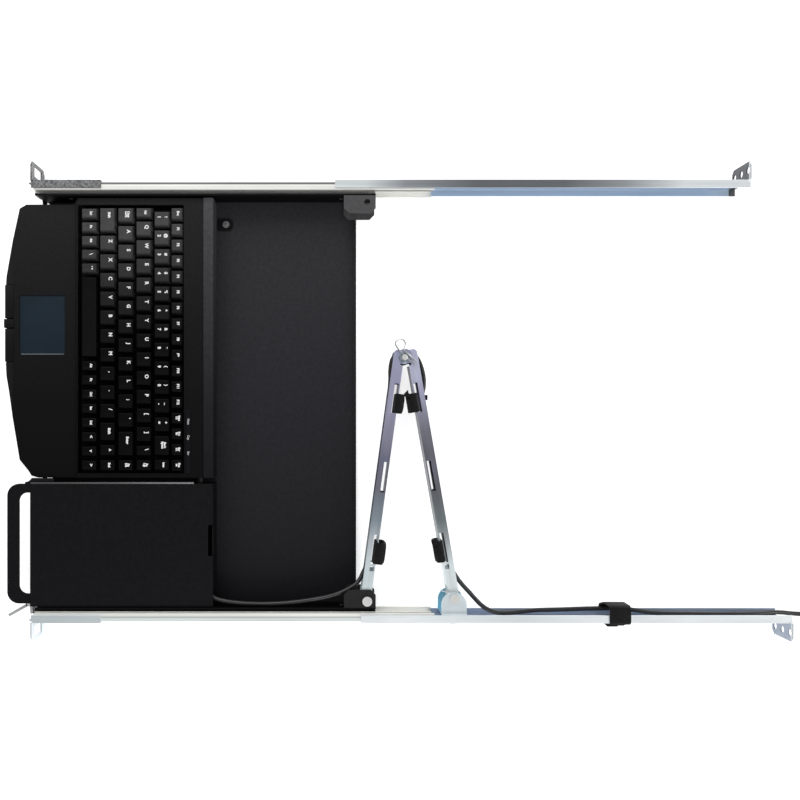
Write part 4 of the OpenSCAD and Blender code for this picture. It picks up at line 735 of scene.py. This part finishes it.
# Cable arms: two channels of 1.2 mm zinc-plated steel, folded one inside the other, with slots for
# the straps along the web and a bush at the rail end of the rear one. Their colour is painted light
# along their length: violet at their apex, darkest between, and pale blue towards the rails, a
# painted reflection of the white sheet. Below the top flange their webs carry painted shade, darkest
# at the apex.
FRONT_ARM_PAINTED_LIGHT = ((-0.050, (0.44, 0.45, 0.63)), (0.010, (0.39, 0.39, 0.53)), (0.040, (0.31, 0.31, 0.41)),
               (0.058, (0.20, 0.21, 0.29)), (0.088, (0.20, 0.205, 0.25)), (0.120, (0.29, 0.35, 0.40)),
               (0.140, (0.54, 0.60, 0.64)), (0.165, (0.70, 0.80, 0.83)), (0.200, (0.78, 0.87, 0.90)))
REAR_ARM_PAINTED_LIGHT = ((-0.050, (0.58, 0.60, 0.77)), (-0.025, (0.60, 0.62, 0.79)), (-0.013, (0.52, 0.52, 0.71)),
              (0.010, (0.34, 0.34, 0.44)), (0.030, (0.22, 0.22, 0.27)), (0.050, (0.175, 0.175, 0.21)),
              (0.070, (0.185, 0.182, 0.235)), (0.088, (0.155, 0.16, 0.18)), (0.120, (0.21, 0.245, 0.26)),
              (0.140, (0.43, 0.47, 0.49)), (0.165, (0.80, 0.88, 0.90)), (0.200, (0.82, 0.89, 0.90)))
WEB_PAINTED_SHADE = ((-0.050, (0.10, 0.10, 0.11)), (-0.015, (0.12, 0.12, 0.14)), (0.010, (0.5, 0.5, 0.5)),
             (0.060, (0.85, 0.85, 0.85)), (0.200, (1, 1, 1)))
for node, turn, web_top, tones in (("front_arm", -8.75, 0.0350, FRONT_ARM_PAINTED_LIGHT),
                                   ("rear_arm", 11.63, 0.0332, REAR_ARM_PAINTED_LIGHT)):
    arm_zinc = plated(node + "_zinc", ((0.80, 0.80, 0.80), (1.0, 1.0, 1.0)), (0.32, 0.5), 0.8, (0.35, 3, 3))
    for mapping in [n for n in arm_zinc.node_tree.nodes if n.type == "MAPPING"]:
        mapping.vector_type = "TEXTURE"
        mapping.inputs["Rotation"].default_value = (0, 0, math.radians(turn))
        mapping.inputs["Scale"].default_value = (3.0, 0.22, 0.22)
    tinted(arm_zinc, 0, tones)
    tinted(arm_zinc, 0, WEB_PAINTED_SHADE, below=web_top)
    clothe(node, arm_zinc, 0.0003)
pivot_zinc = plated("pivot_bracket_zinc", ((0.66, 0.74, 0.78), (0.80, 0.87, 0.90)), (0.3, 0.46))
# The lower plate, under the upper one, is painted darker and bluer: painted shade.
tinted(pivot_zinc, 2, ((0.0, (0.45, 0.80, 0.95)), (0.036, (0.45, 0.80, 0.95)), (0.0365, (1, 1, 1)),
                       (0.045, (1, 1, 1))), stepped=True)
clothe("arm_bracket", pivot_zinc, 0.0004)

# Fasteners: nickel-plated pins, rivets and screws, and the tray's two black screws.
bright_pin = plated("fastener_plate", ((0.70, 0.70, 0.68), (0.86, 0.86, 0.84)), (0.24, 0.4), 0.7)
for node in ("drawer_pins", "rail_pivot_pin", "front_rivets", "rail_screws"):
    clothe(node, bright_pin, 0.0004)
dark_screw = plated("dark_screw", ((0.05, 0.05, 0.052), (0.22, 0.22, 0.225)), (0.3, 0.5), 0.8, scale=260)
clothe("tray_screws", dark_screw, 0.0005)

# Apex pin: a plain steel pin with a dark zinc washer on top, held by a spring clip of 1.6 mm bright
# wire through its cross hole; the clip's bow is a ring and its two legs cross the pin. The pin at the
# rail end has a straight clip of thinner wire.
washer_zinc = plated("washer_zinc", ((0.13, 0.16, 0.20), (0.36, 0.41, 0.47)), (0.3, 0.45), 0.8, scale=300)


def turned(name, rings, centre, finish, sides=40):
    """A round piece of revolution from (radius, height) rings in millimetres."""
    made, body = empty_piece(name)
    loops = [[body.verts.new(at(centre[0] + r * math.cos(2 * math.pi * k / sides),
                                centre[1] + r * math.sin(2 * math.pi * k / sides), z))
              for k in range(sides)] for r, z in rings]
    close_rings(made, body, loops, finish)
    bpy.ops.object.shade_smooth_by_angle(angle=math.radians(35))
    return made


middle = (APEX.x, APEX.y)
pin = turned("apex_pin_shank", ((4.4, 5.0), (5.0, 5.5), (5.0, 6.2), (4.6, 6.8), (3.0, 6.8), (3.0, 41.4),
                                (2.4, 42.0)), middle, bright_pin)
washer = turned("apex_washer", ((3.1, 36.75), (6.0, 36.75), (6.0, 37.5), (5.6, 37.75), (3.1, 37.75)),
                middle, washer_zinc)
apex_set = join("apex_pin_set", [pin, washer])
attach(apex_set, "arm_front")
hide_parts("apex_pin")
clip_stops = [near_apex(p, q, z) for p, q, z in (
    (7.1, 9.7, 38.6), (2.5, 4.2, 39.0), (-0.6, 0.8, 39.3), (-5.5, -4.0, 39.3), (-9.6, -6.9, 39.3),
    (-12.8, -8.8, 39.3), (-15.9, -8.5, 39.3), (-18.0, -5.9, 39.3), (-18.2, -2.5, 39.5),
    (-16.3, 0.1, 39.9), (-13.2, 0.8, 40.2), (-9.8, -0.2, 40.6), (-6.6, -0.6, 41.0), (-4.4, 2.2, 41.2),
    (-2.8, 4.6, 40.8), (-0.6, 6.6, 40.0), (2.2, 9.0, 39.4), (4.2, 11.8, 39.2))]
clip_wire = plated("clip_wire", ((0.50, 0.51, 0.52), (0.66, 0.67, 0.68)), (0.16, 0.26), 1.0)
wire = tube("spring_clip", smooth(clip_stops, 0.0012), 0.0008, clip_wire, 4)
hold(wire)
bpy.ops.object.convert(target="MESH")
bpy.ops.object.shade_smooth_by_angle(angle=math.radians(60))
pivot_wire = tube("pivot_clip", [at(189.9, 410.6, 38), at(192.1, 420.3, 38), at(193.6, 426, 38)], 0.0006,
                  clip_wire, 3)
hold(pivot_wire)
bpy.ops.object.convert(target="MESH")
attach(pivot_wire, "rails")
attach(wire, "arm_front")
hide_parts("retaining_clip")

# Tray: one 1.5 mm steel sheet folded up at both sides and powder-coated black with a fine texture,
# with the latch ear, the pivot lugs and the keyboard's clamp in the same coat.


def coated(name, low, high):
    """Black powder coat between two tones, with its fine orange-peel."""
    finish, tree, shader = new_finish(name, low, roughness=0.52, specular=0.1)
    mottle(tree, shader, (low, high), 260, 5)
    rub(tree, shader, 0.44, 0.6, 500)
    grain(tree, shader, 1300, 0.00008, 0.55, 2)
    grain(tree, shader, 520, 0.00006, 0.4, 2)
    return finish


powder = coated("black_powder_coat", (0.0030, 0.0030, 0.0038), (0.0052, 0.0050, 0.0062))
for node in ("latch_bracket", "keyboard_clamp", "mouse_platform", "pull_handle"):
    clothe(node, powder, 0.0003)
# The tray pan's coat is a lighter copy of the powder coat with painted light: a painted sheen brightest at
# the left wall and fading to the right, a painted highlight along the floor's rear edge with darker coat
# behind it, and painted shade on the walls above the floor.
tray_coat_painted_light = coated("tray_powder_coat_painted_light", (0.048, 0.046, 0.052), (0.062, 0.058, 0.066))
tinted(tray_coat_painted_light, 0, ((-0.209, (1.0, 1.0, 1.0)), (0.0, (0.62, 0.62, 0.66)), (0.209, (0.26, 0.26, 0.28))))
tinted(tray_coat_painted_light, 1, ((-0.365, (0.5, 0.5, 0.5)), (-0.0415, (1.0, 1.0, 1.0)), (-0.0399, (0.2, 0.2, 0.2)),
                      (-0.0190, (0.5, 0.5, 0.5))), stepped=True)
tinted(tray_coat_painted_light, 2, ((0.0, (1, 1, 1)), (0.0062, (0.10, 0.10, 0.10)), (0.045, (0.10, 0.10, 0.10))),
       stepped=True)
clothe("tray_pan", tray_coat_painted_light, 0)
TRAY_HALF = 209.0
# The lugs' coat is a lighter copy of the powder coat, painted lighter on the left lug than the right:
# painted light and shade.
lug_coat_painted_light = coated("lug_powder_coat_painted_light", (0.060, 0.060, 0.062), (0.074, 0.074, 0.077))
tinted(lug_coat_painted_light, 0, ((-0.209, (1.0, 1.0, 1.0)), (0.209, (0.22, 0.22, 0.22))))
clothe("rear_lugs", lug_coat_painted_light, 0.0003)

# Tray's front lip: the floor's front edge runs a little past the side walls, whose ends slope down
# to it.
lip = block("front_lip", (-TRAY_HALF, 0.7, 3.0), (TRAY_HALF, 5.3, 4.5), powder)
wall_end = block("wall_end", (-TRAY_HALF, 0.7, 3.0), (1.5 - TRAY_HALF, 5.3, 22.0), powder)
bpy.ops.object.mode_set(mode="EDIT")
choose(wall_end, lambda v: v.co.y < at(0, 1, 0).y and v.co.z > 0.01, "VERT")
bpy.ops.transform.translate(value=(0, 0, -0.0175))
bpy.ops.object.mode_set(mode="OBJECT")
front_lip = join("front_lip", [soften(lip, 0.0003), soften(wall_end, 0.0003)])
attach(front_lip, "drawer")

# Latch lever: a bare zinc-plated strip, bent to a finger tab.
lever_zinc = plated("lever_zinc", ((0.45, 0.46, 0.47), (0.62, 0.63, 0.64)), (0.3, 0.44))
clothe("release_lever", lever_zinc, 0.0002)

# Platform's edge: a bright strip along the bend of the side next to the keyboard, a painted highlight
# that grows brighter towards the rear; and the handle's inner corner, a web of the same sheet as the handle.
edge_highlight, tree, shader = new_finish("painted_edge_highlight", (0.23, 0.23, 0.235), metallic=0.6, roughness=0.4)
mottle(tree, shader, ((0.16, 0.16, 0.165), (0.30, 0.30, 0.31)), 60, 3, (1, 0.3, 1))
tinted(edge_highlight, 1, ((-0.367, (0.32, 0.32, 0.32)), (-0.30, (0.5, 0.5, 0.5)), (-0.20, (0.95, 0.95, 0.95))))
edge = block("platform_edge", (81.4, -2.2, 34.6), (83.0, 162.6, 36.0), edge_highlight)
soften(edge, 0.0002, 2)
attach(edge, "drawer")
curve = [(74.1 + 7.1 * math.sin(math.radians(a)), -8.0 + 7.1 * math.cos(math.radians(a)))
         for a in range(26, 91, 8)]
web = plate("handle_web", curve + [(83.4, -8.2), (83.4, 21), (77.3, 21)], 31.7, 34.4, powder)
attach(web, "drawer")

# Strain relief: a ribbed sleeve of black PVC moulded round the lead where it leaves the keyboard.
sleeve_rings = [(2.6, 0.0), (4.0, 0.0), (4.0, 1.2)]
for k in range(5):
    ring = 2.4 + 1.9 * k
    sleeve_rings += [(3.3 - 0.12 * k, ring - 0.9), (3.3 - 0.12 * k, ring - 0.2),
                     (3.95 - 0.22 * k, ring), (3.95 - 0.22 * k, ring + 0.8)]
sleeve_rings += [(2.7, 11.2), (2.4, 12.0)]
sleeve = turned("relief_sleeve", sleeve_rings, (0, EARS_TO_ORIGIN), moulding, 28)
sleeve.data.transform(Matrix.Translation(at(77, 165, 10.25)) @ Matrix.Rotation(math.pi / 2, 4, "Y"))
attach(sleeve, "drawer")
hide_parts("strain_relief")

# Keyboard's inside: rubber feet, circuit board and the mat of rubber domes under the keys.
rubber, tree, shader = new_finish("foot_rubber", (0.02, 0.02, 0.02), roughness=0.8)
grain(tree, shader, 900, 0.00006, 0.6)
clothe("keyboard_feet", rubber, 0.0002)
laminate, tree, shader = new_finish("board_laminate", (0.02, 0.09, 0.045), roughness=0.5)
mottle(tree, shader, ((0.016, 0.08, 0.04), (0.026, 0.11, 0.055)), 120)
clothe("key_board", laminate, 0)
silicone, tree, shader = new_finish("dome_silicone", (0.5, 0.5, 0.49), roughness=0.6)
mottle(tree, shader, ((0.45, 0.45, 0.44), (0.55, 0.55, 0.54)), 80)
clothe("dome_mat", silicone, 0)

# Keyboard shells: two halves of injection-moulded black ABS with a fine spark texture, screwed
# together from below. The upper one has the palm rest, the sloping deck and the rear ridge.
# Its colour carries painted light: lighter at its left end and on the rear ridge, darker towards the right.
case, tree, shader = new_finish("case_plastic", (0.05, 0.05, 0.053), roughness=0.5, specular=0.09)
mottle(tree, shader, ((0.044, 0.044, 0.048), (0.060, 0.060, 0.065)), 300, 5)
rub(tree, shader, 0.42, 0.56, 400)
grain(tree, shader, 1500, 0.00005, 0.5, 2)
grain(tree, shader, 26, 0.0012, 0.10, 2)
tinted(case, 0, ((-0.206, (1.1, 1.1, 1.1)), (-0.10, (0.58, 0.58, 0.58)), (0.0, (0.24, 0.24, 0.25)),
                 (0.078, (0.12, 0.12, 0.14))))
tinted(case, 1, ((-0.40, (0.22, 0.22, 0.22)), (-0.1938, (1.0, 1.0, 1.0)), (-0.18, (1.0, 1.0, 1.0))),
       stepped=True)
for node, edge in (("keyboard_base", 0.0008), ("keyboard_top", 0.0009), ("key_guide_plate", 0)):
    clothe(node, case, edge)

# Front buttons: two rocking keys and a scroll key let into the front edge of the palm rest,
# moulded in the same black plastic, each with a rounded front and a shallow finger dip.


def button(name, node, low, high, dip):
    """One key of the palm rest's front edge."""
    made = block(name, low, high, case)
    bpy.ops.object.mode_set(mode="EDIT")
    hollow = ((0.2, 0.6), (0.35, 0.9), (0.5, 1.0), (0.65, 0.9), (0.8, 0.6))
    for share, drop in hollow:
        bpy.ops.mesh.select_all(action="SELECT")
        y = low[1] + (high[1] - low[1]) * share
        bpy.ops.mesh.bisect(plane_co=at(0, y, 0), plane_no=(0, 1, 0))
    for share, drop in hollow:
        y = at(0, low[1] + (high[1] - low[1]) * share, 0).y
        choose(made, lambda v: abs(v.co.y - y) < 1e-5 and v.co.z > high[2] / 1000 - 1e-5, "VERT")
        bpy.ops.transform.translate(value=(0, 0, -dip * drop / 1000))
    choose(made, lambda e: all(v.co.y < at(0, low[1], 0).y + 1e-5 and v.co.z > high[2] / 1000 - 1e-4
                               for v in e.verts), "EDGE")
    bpy.ops.mesh.bevel(offset=0.0054, segments=6)
    bpy.ops.object.mode_set(mode="OBJECT")
    soften(made, 0.0006, 2, 35)
    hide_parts(node)
    return made


for name, node, body, low, high, dip in (
        ("left_click_key", "left_click_button", "left_click",
         (-118.5, -31.1, 19.4), (-85.1, -21.1, 29.6), 0.7),
        ("scroll_key", "scroll_button", "scroll_press",
         (-84.0, -32.1, 19.4), (-75.3, -21.1, 30.0), 0.35),
        ("right_click_key", "right_click_button", "right_click",
         (-74.2, -31.1, 19.4), (-40.8, -21.1, 29.6), 0.7)):
    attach(button(name, node, low, high, dip), body)

# Touch surface: a blue-grey textured film bonded to a flat plate, sunk 0.8 mm into the palm rest,
# with a bright cut edge along its right side.
pad_film, tree, shader = new_finish("pad_film", (0.0065, 0.0145, 0.023), roughness=0.42, specular=0.15)
mottle(tree, shader, ((0.0055, 0.0125, 0.0205), (0.0078, 0.0165, 0.0255)), 30, 3)
rub(tree, shader, 0.34, 0.48, 70)
grain(tree, shader, 2400, 0.00002, 0.4, 2)
pad = block("touch_surface", (-107.8, -14.8, 26.4), (-48.2, 30.8, 29.2), pad_film)
bpy.ops.object.mode_set(mode="EDIT")
choose(pad, lambda f: f.normal.z > 0.9)
bpy.ops.mesh.inset(thickness=0.0009)
bpy.ops.transform.translate(value=(0, 0, -0.00035))
bpy.ops.mesh.inset(thickness=0.0012)
bpy.ops.transform.translate(value=(0, 0, 0.00012))
bpy.ops.object.mode_set(mode="OBJECT")
soften(pad, 0.00025, 2, 20)
flange = block("pad_flange", (-110, -11.5, 24.3), (-46, 33, 25.9), case)
soften(flange, 0.0003, 2)
edge_strip, tree, shader = new_finish("pad_edge_film", (0.30, 0.34, 0.38), roughness=0.4)
rub(tree, shader, 0.3, 0.5, 200)
pad_edge = block("pad_bright_edge", (-48.5, -13.6, 29.0), (-48.05, 29.6, 29.5), edge_strip)
soften(pad_edge, 0.0001, 2)
touch = join("touch_surface", [pad, flange, pad_edge])
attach(touch, "drawer")
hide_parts("touch_pad")

# Status window: a smoked clear strip over three lamps, with small grey marks printed behind it.
window, tree, shader = new_finish("window_plastic", (0.004, 0.004, 0.005), roughness=0.25, specular=0.12)
rub(tree, shader, 0.14, 0.28, 90)
strip = block("status_window", (6.7, 154, 31.5), (72.3, 159.2, 32.8), window)
bpy.ops.object.mode_set(mode="EDIT")
choose(strip, lambda f: f.normal.z > 0.9)
bpy.ops.mesh.inset(thickness=0.0005)
bpy.ops.transform.translate(value=(0, 0, -0.0002))
bpy.ops.object.mode_set(mode="OBJECT")
soften(strip, 0.0002, 2, 20)
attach(strip, "drawer")
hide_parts("indicator_window")
print_grey, tree, shader = new_finish("print_grey", (0.34, 0.34, 0.35), roughness=0.6)
mottle(tree, shader, ((0.28, 0.28, 0.29), (0.38, 0.38, 0.39)), 900)


def wording(name, words, x, y, z, size, finish, bold=0.0002):
    """Flat printed characters centred on a point, reading along X."""
    bpy.ops.object.select_all(action="DESELECT")
    bpy.ops.object.text_add(location=at(x, y, z))
    text = bpy.context.object
    text.name = name
    text.data.body = words
    text.data.size = size / 1000
    text.data.offset = bold
    text.data.align_x, text.data.align_y = "CENTER", "CENTER"
    text.data.space_line = 0.8
    text.data.resolution_u = 3
    text.data.extrude = 0.00003
    bpy.ops.object.convert(target="MESH")
    bpy.ops.object.transform_apply(location=True, rotation=True, scale=True)
    text = bpy.context.object
    text.data.materials.clear()
    text.data.materials.append(finish)
    return text


marks = join("window_marks", [wording(f"mark_{x}", words, x, 156.6, 32.7, 2.8, print_grey)
                              for x, words in ((20.3, "Num"), (36.3, "Cap"), (52.3, "Scr"))])
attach(marks, "drawer")

# Keys: moulded black caps with leaning sides, soft edges and a dished top, each on a square stem in
# the guide plate. The legends are printed in white behind the middle of each cap. The space bar is
# smoother and darker than the rest.
cap_plastic, tree, shader = new_finish("cap_plastic", (0.056, 0.056, 0.058), roughness=0.42, specular=0.07)
mottle(tree, shader, ((0.050, 0.050, 0.052), (0.062, 0.062, 0.064)), 400, 5)
# The caps' colour carries painted light: lighter at the keyboard's left end, darker towards its middle and
# right.
tinted(cap_plastic, 0, ((-0.205, (1.0, 1.0, 1.0)), (-0.173, (0.94, 0.94, 0.94)),
                        (-0.138, (0.55, 0.55, 0.55)), (-0.107, (0.22, 0.22, 0.22)),
                        (-0.072, (0.07, 0.07, 0.07)), (-0.05, (0.03, 0.03, 0.03)),
                        (0.078, (0.02, 0.02, 0.02))))
rub(tree, shader, 0.34, 0.5, 90)
grain(tree, shader, 1800, 0.00003, 0.5, 2)
legend_white, tree, shader = new_finish("legend_print", (0.78, 0.78, 0.78), roughness=0.55)
mottle(tree, shader, ((0.72, 0.72, 0.72), (0.82, 0.82, 0.82)), 900)
CAP_W, CAP_LOW, CAP_TOP, STEM_LOW = 17.35, 28.0, 36.5, 16.0
KEY_PITCH, KEY_GAP, ROW_LEFT = 18.85, 1.5, -197.5
TOP_CUTS = (-5, -3, -1, 1, 3, 5)


def master_cap(depth, plastic):
    """One cap and stem about the origin, one pitch wide, in millimetres."""
    bpy.ops.object.select_all(action="DESELECT")
    bpy.ops.mesh.primitive_cube_add(size=1, location=(0, 0, 0))
    cap = bpy.context.object
    cap.scale = (CAP_W, depth, CAP_TOP - CAP_LOW)
    bpy.ops.object.transform_apply(scale=True)
    bpy.ops.transform.translate(value=(0, 0, (CAP_TOP + CAP_LOW) / 2))
    bpy.ops.object.transform_apply(location=True)
    bpy.ops.object.mode_set(mode="EDIT")
    choose(cap, lambda f: f.normal.z > 0.9)
    bpy.ops.transform.resize(value=(1 - 4 / CAP_W, 1 - 2.8 / depth, 1))
    for x in TOP_CUTS:
        bpy.ops.mesh.select_all(action="SELECT")
        bpy.ops.mesh.bisect(plane_co=(x, 0, 0), plane_no=(1, 0, 0))
    half = CAP_W / 2 - 2
    for x in TOP_CUTS:
        choose(cap, lambda v: abs(v.co.x - x) < 1e-3 and v.co.z > CAP_TOP - 1e-3, "VERT")
        bpy.ops.transform.translate(value=(0, 0, -0.55 * (1 - (x / half) ** 2)))
    choose(cap, lambda f: f.normal.z < -0.9)
    bpy.ops.mesh.dissolve_faces()
    choose(cap, lambda f: f.normal.z < -0.9)
    bpy.ops.mesh.inset(thickness=depth / 2 - 2.6)
    bpy.ops.mesh.extrude_region_move(TRANSFORM_OT_translate={"value": (0, 0, STEM_LOW - CAP_LOW)})
    choose(cap, lambda e: e.calc_face_angle(0) > math.radians(40)
           and min(v.co.z for v in e.verts) > CAP_LOW - 1e-3
           and (max(v.co.z for v in e.verts) > CAP_TOP - 1), "EDGE")
    bpy.ops.mesh.bevel(offset=0.75, segments=3, affect="EDGES")
    bpy.ops.object.mode_set(mode="OBJECT")
    bpy.ops.object.shade_smooth_by_angle(angle=math.radians(32))
    cap.data.materials.append(plastic)
    return cap


def key_row(name, body, node, start, middle, shares, legends, depth=16.8, only=None,
            plastic=cap_plastic):
    """A row of caps, each stretched at its middle to its own width, with its printed legends."""
    master = master_cap(depth, plastic)
    caps, prints = [], []
    left = start
    for i, (share, words) in enumerate(zip(shares, legends)):
        pitch = KEY_PITCH * share
        centre, width = left + pitch / 2, pitch - KEY_GAP
        left += pitch
        if only is not None and i not in only:
            continue
        cap = master.copy()
        cap.data = master.data.copy()
        bpy.context.collection.objects.link(cap)
        move = (width - CAP_W) / 2
        for v in cap.data.vertices:
            if v.co.z > CAP_LOW - 0.5:
                inner = max(TOP_CUTS[0], min(TOP_CUTS[-1], v.co.x))
                v.co.x += inner * move / TOP_CUTS[-1]
            v.co = at(v.co.x + centre, v.co.y + middle, v.co.z)
        caps.append(cap)
        for k, (dx, dy, size, part) in enumerate(words):
            prints.append(wording(f"legend_{name}_{i}_{k}", part, centre + dx * width, middle + dy * depth,
                                  CAP_TOP - 0.38, size, legend_white))
    bpy.data.objects.remove(master)
    row = join(name, caps)
    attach(row, body)
    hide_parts(node)
    if prints:
        printed = join(name + "_legends", prints)
        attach(printed, body)


def letters(text):
    """Legends of a run of caps with one character each."""
    return [[(-0.09, 0.19, 5.0, one)] for one in text]


def word(one, size=3.0, dx=-0.02, dy=0.12):
    """Legend of one cap, its place given in shares of the cap."""
    return [(dx, dy, size, one)]


key_row("bottom_caps", "bottom_row", "bottom_keys", -197.0, 57.0,
        [0.735] * 5 + [4.48] + [0.761] * 8,
        [word("Ctrl"), word("Fn"), word("Alt"), word("\\", 4.4), word("' \"", 4.0), [], word("Alt"),
         word("Fn"), word("Ctrl"), word("Ins"), word("Del"), word("<", 4.6), word("v", 4.6),
         word(">", 4.6)], only=[i for i in range(14) if i != 5])
bar_plastic, tree, shader = new_finish("bar_plastic", (0.002, 0.002, 0.0022), roughness=0.5, specular=0.08)
mottle(tree, shader, ((0.0015, 0.0015, 0.0017), (0.003, 0.003, 0.0032)), 400, 5)
rub(tree, shader, 0.44, 0.56, 90)
grain(tree, shader, 1800, 0.00003, 0.5, 2)
key_row("space_cap", "space_key", "space_bar", -197.0, 57.0, [0.735] * 5 + [4.48], [[]] * 6, only=[5],
        plastic=bar_plastic)
key_row("lower_letter_caps", "lower_letter_row", "lower_letter_keys", ROW_LEFT, 75.3,
        [1.475] + [1] * 10 + [1.2, 0.81, 0.8],
        [word("Shift", 3.4, -0.18)] + letters("ZXCVBNM,./") + [word("Shift", 3.4), word("^", 5.0),
                                                               word("End")])
key_row("home_caps", "home_row", "home_keys", ROW_LEFT, 93.6, [0.96] + [1] * 11 + [1.528, 0.8],
        [word("Caps\nLock")] + letters("ASDFGHJKL;'") + [word("Enter", 3.4, -0.12), word("Pg\nDn")])
key_row("upper_letter_caps", "upper_letter_row", "upper_letter_keys", ROW_LEFT, 111.9,
        [0.72] + [1] * 12 + [0.764, 0.8],
        [word("Tab")] + letters("QWERTYUIOP[]") + letters("\\") + [word("Pg\nUp")])
key_row("number_caps", "number_row", "number_keys", -193.8, 130.2, [1] * 12 + [1.268, 0.8],
        [[(-0.1, -0.15, 4.4, low), (-0.1, 0.26, 4.0, high)]
         for low, high in zip("1234567890-=", "!@#$%^&*()_+")] + [word("Back\nSpace"), word("Home")])
key_row("function_caps", "function_row", "function_keys", ROW_LEFT, 145.2, [0.842] * 17,
        [word(one, 3.4 if len(one) < 4 else 2.9) for one in (
            ["Esc"] + [f"F{n}" for n in range(1, 13)] + ["Num\nLk", "Prt\nSc", "Scr\nLk", "Pau\nse"])],
        depth=12.6)
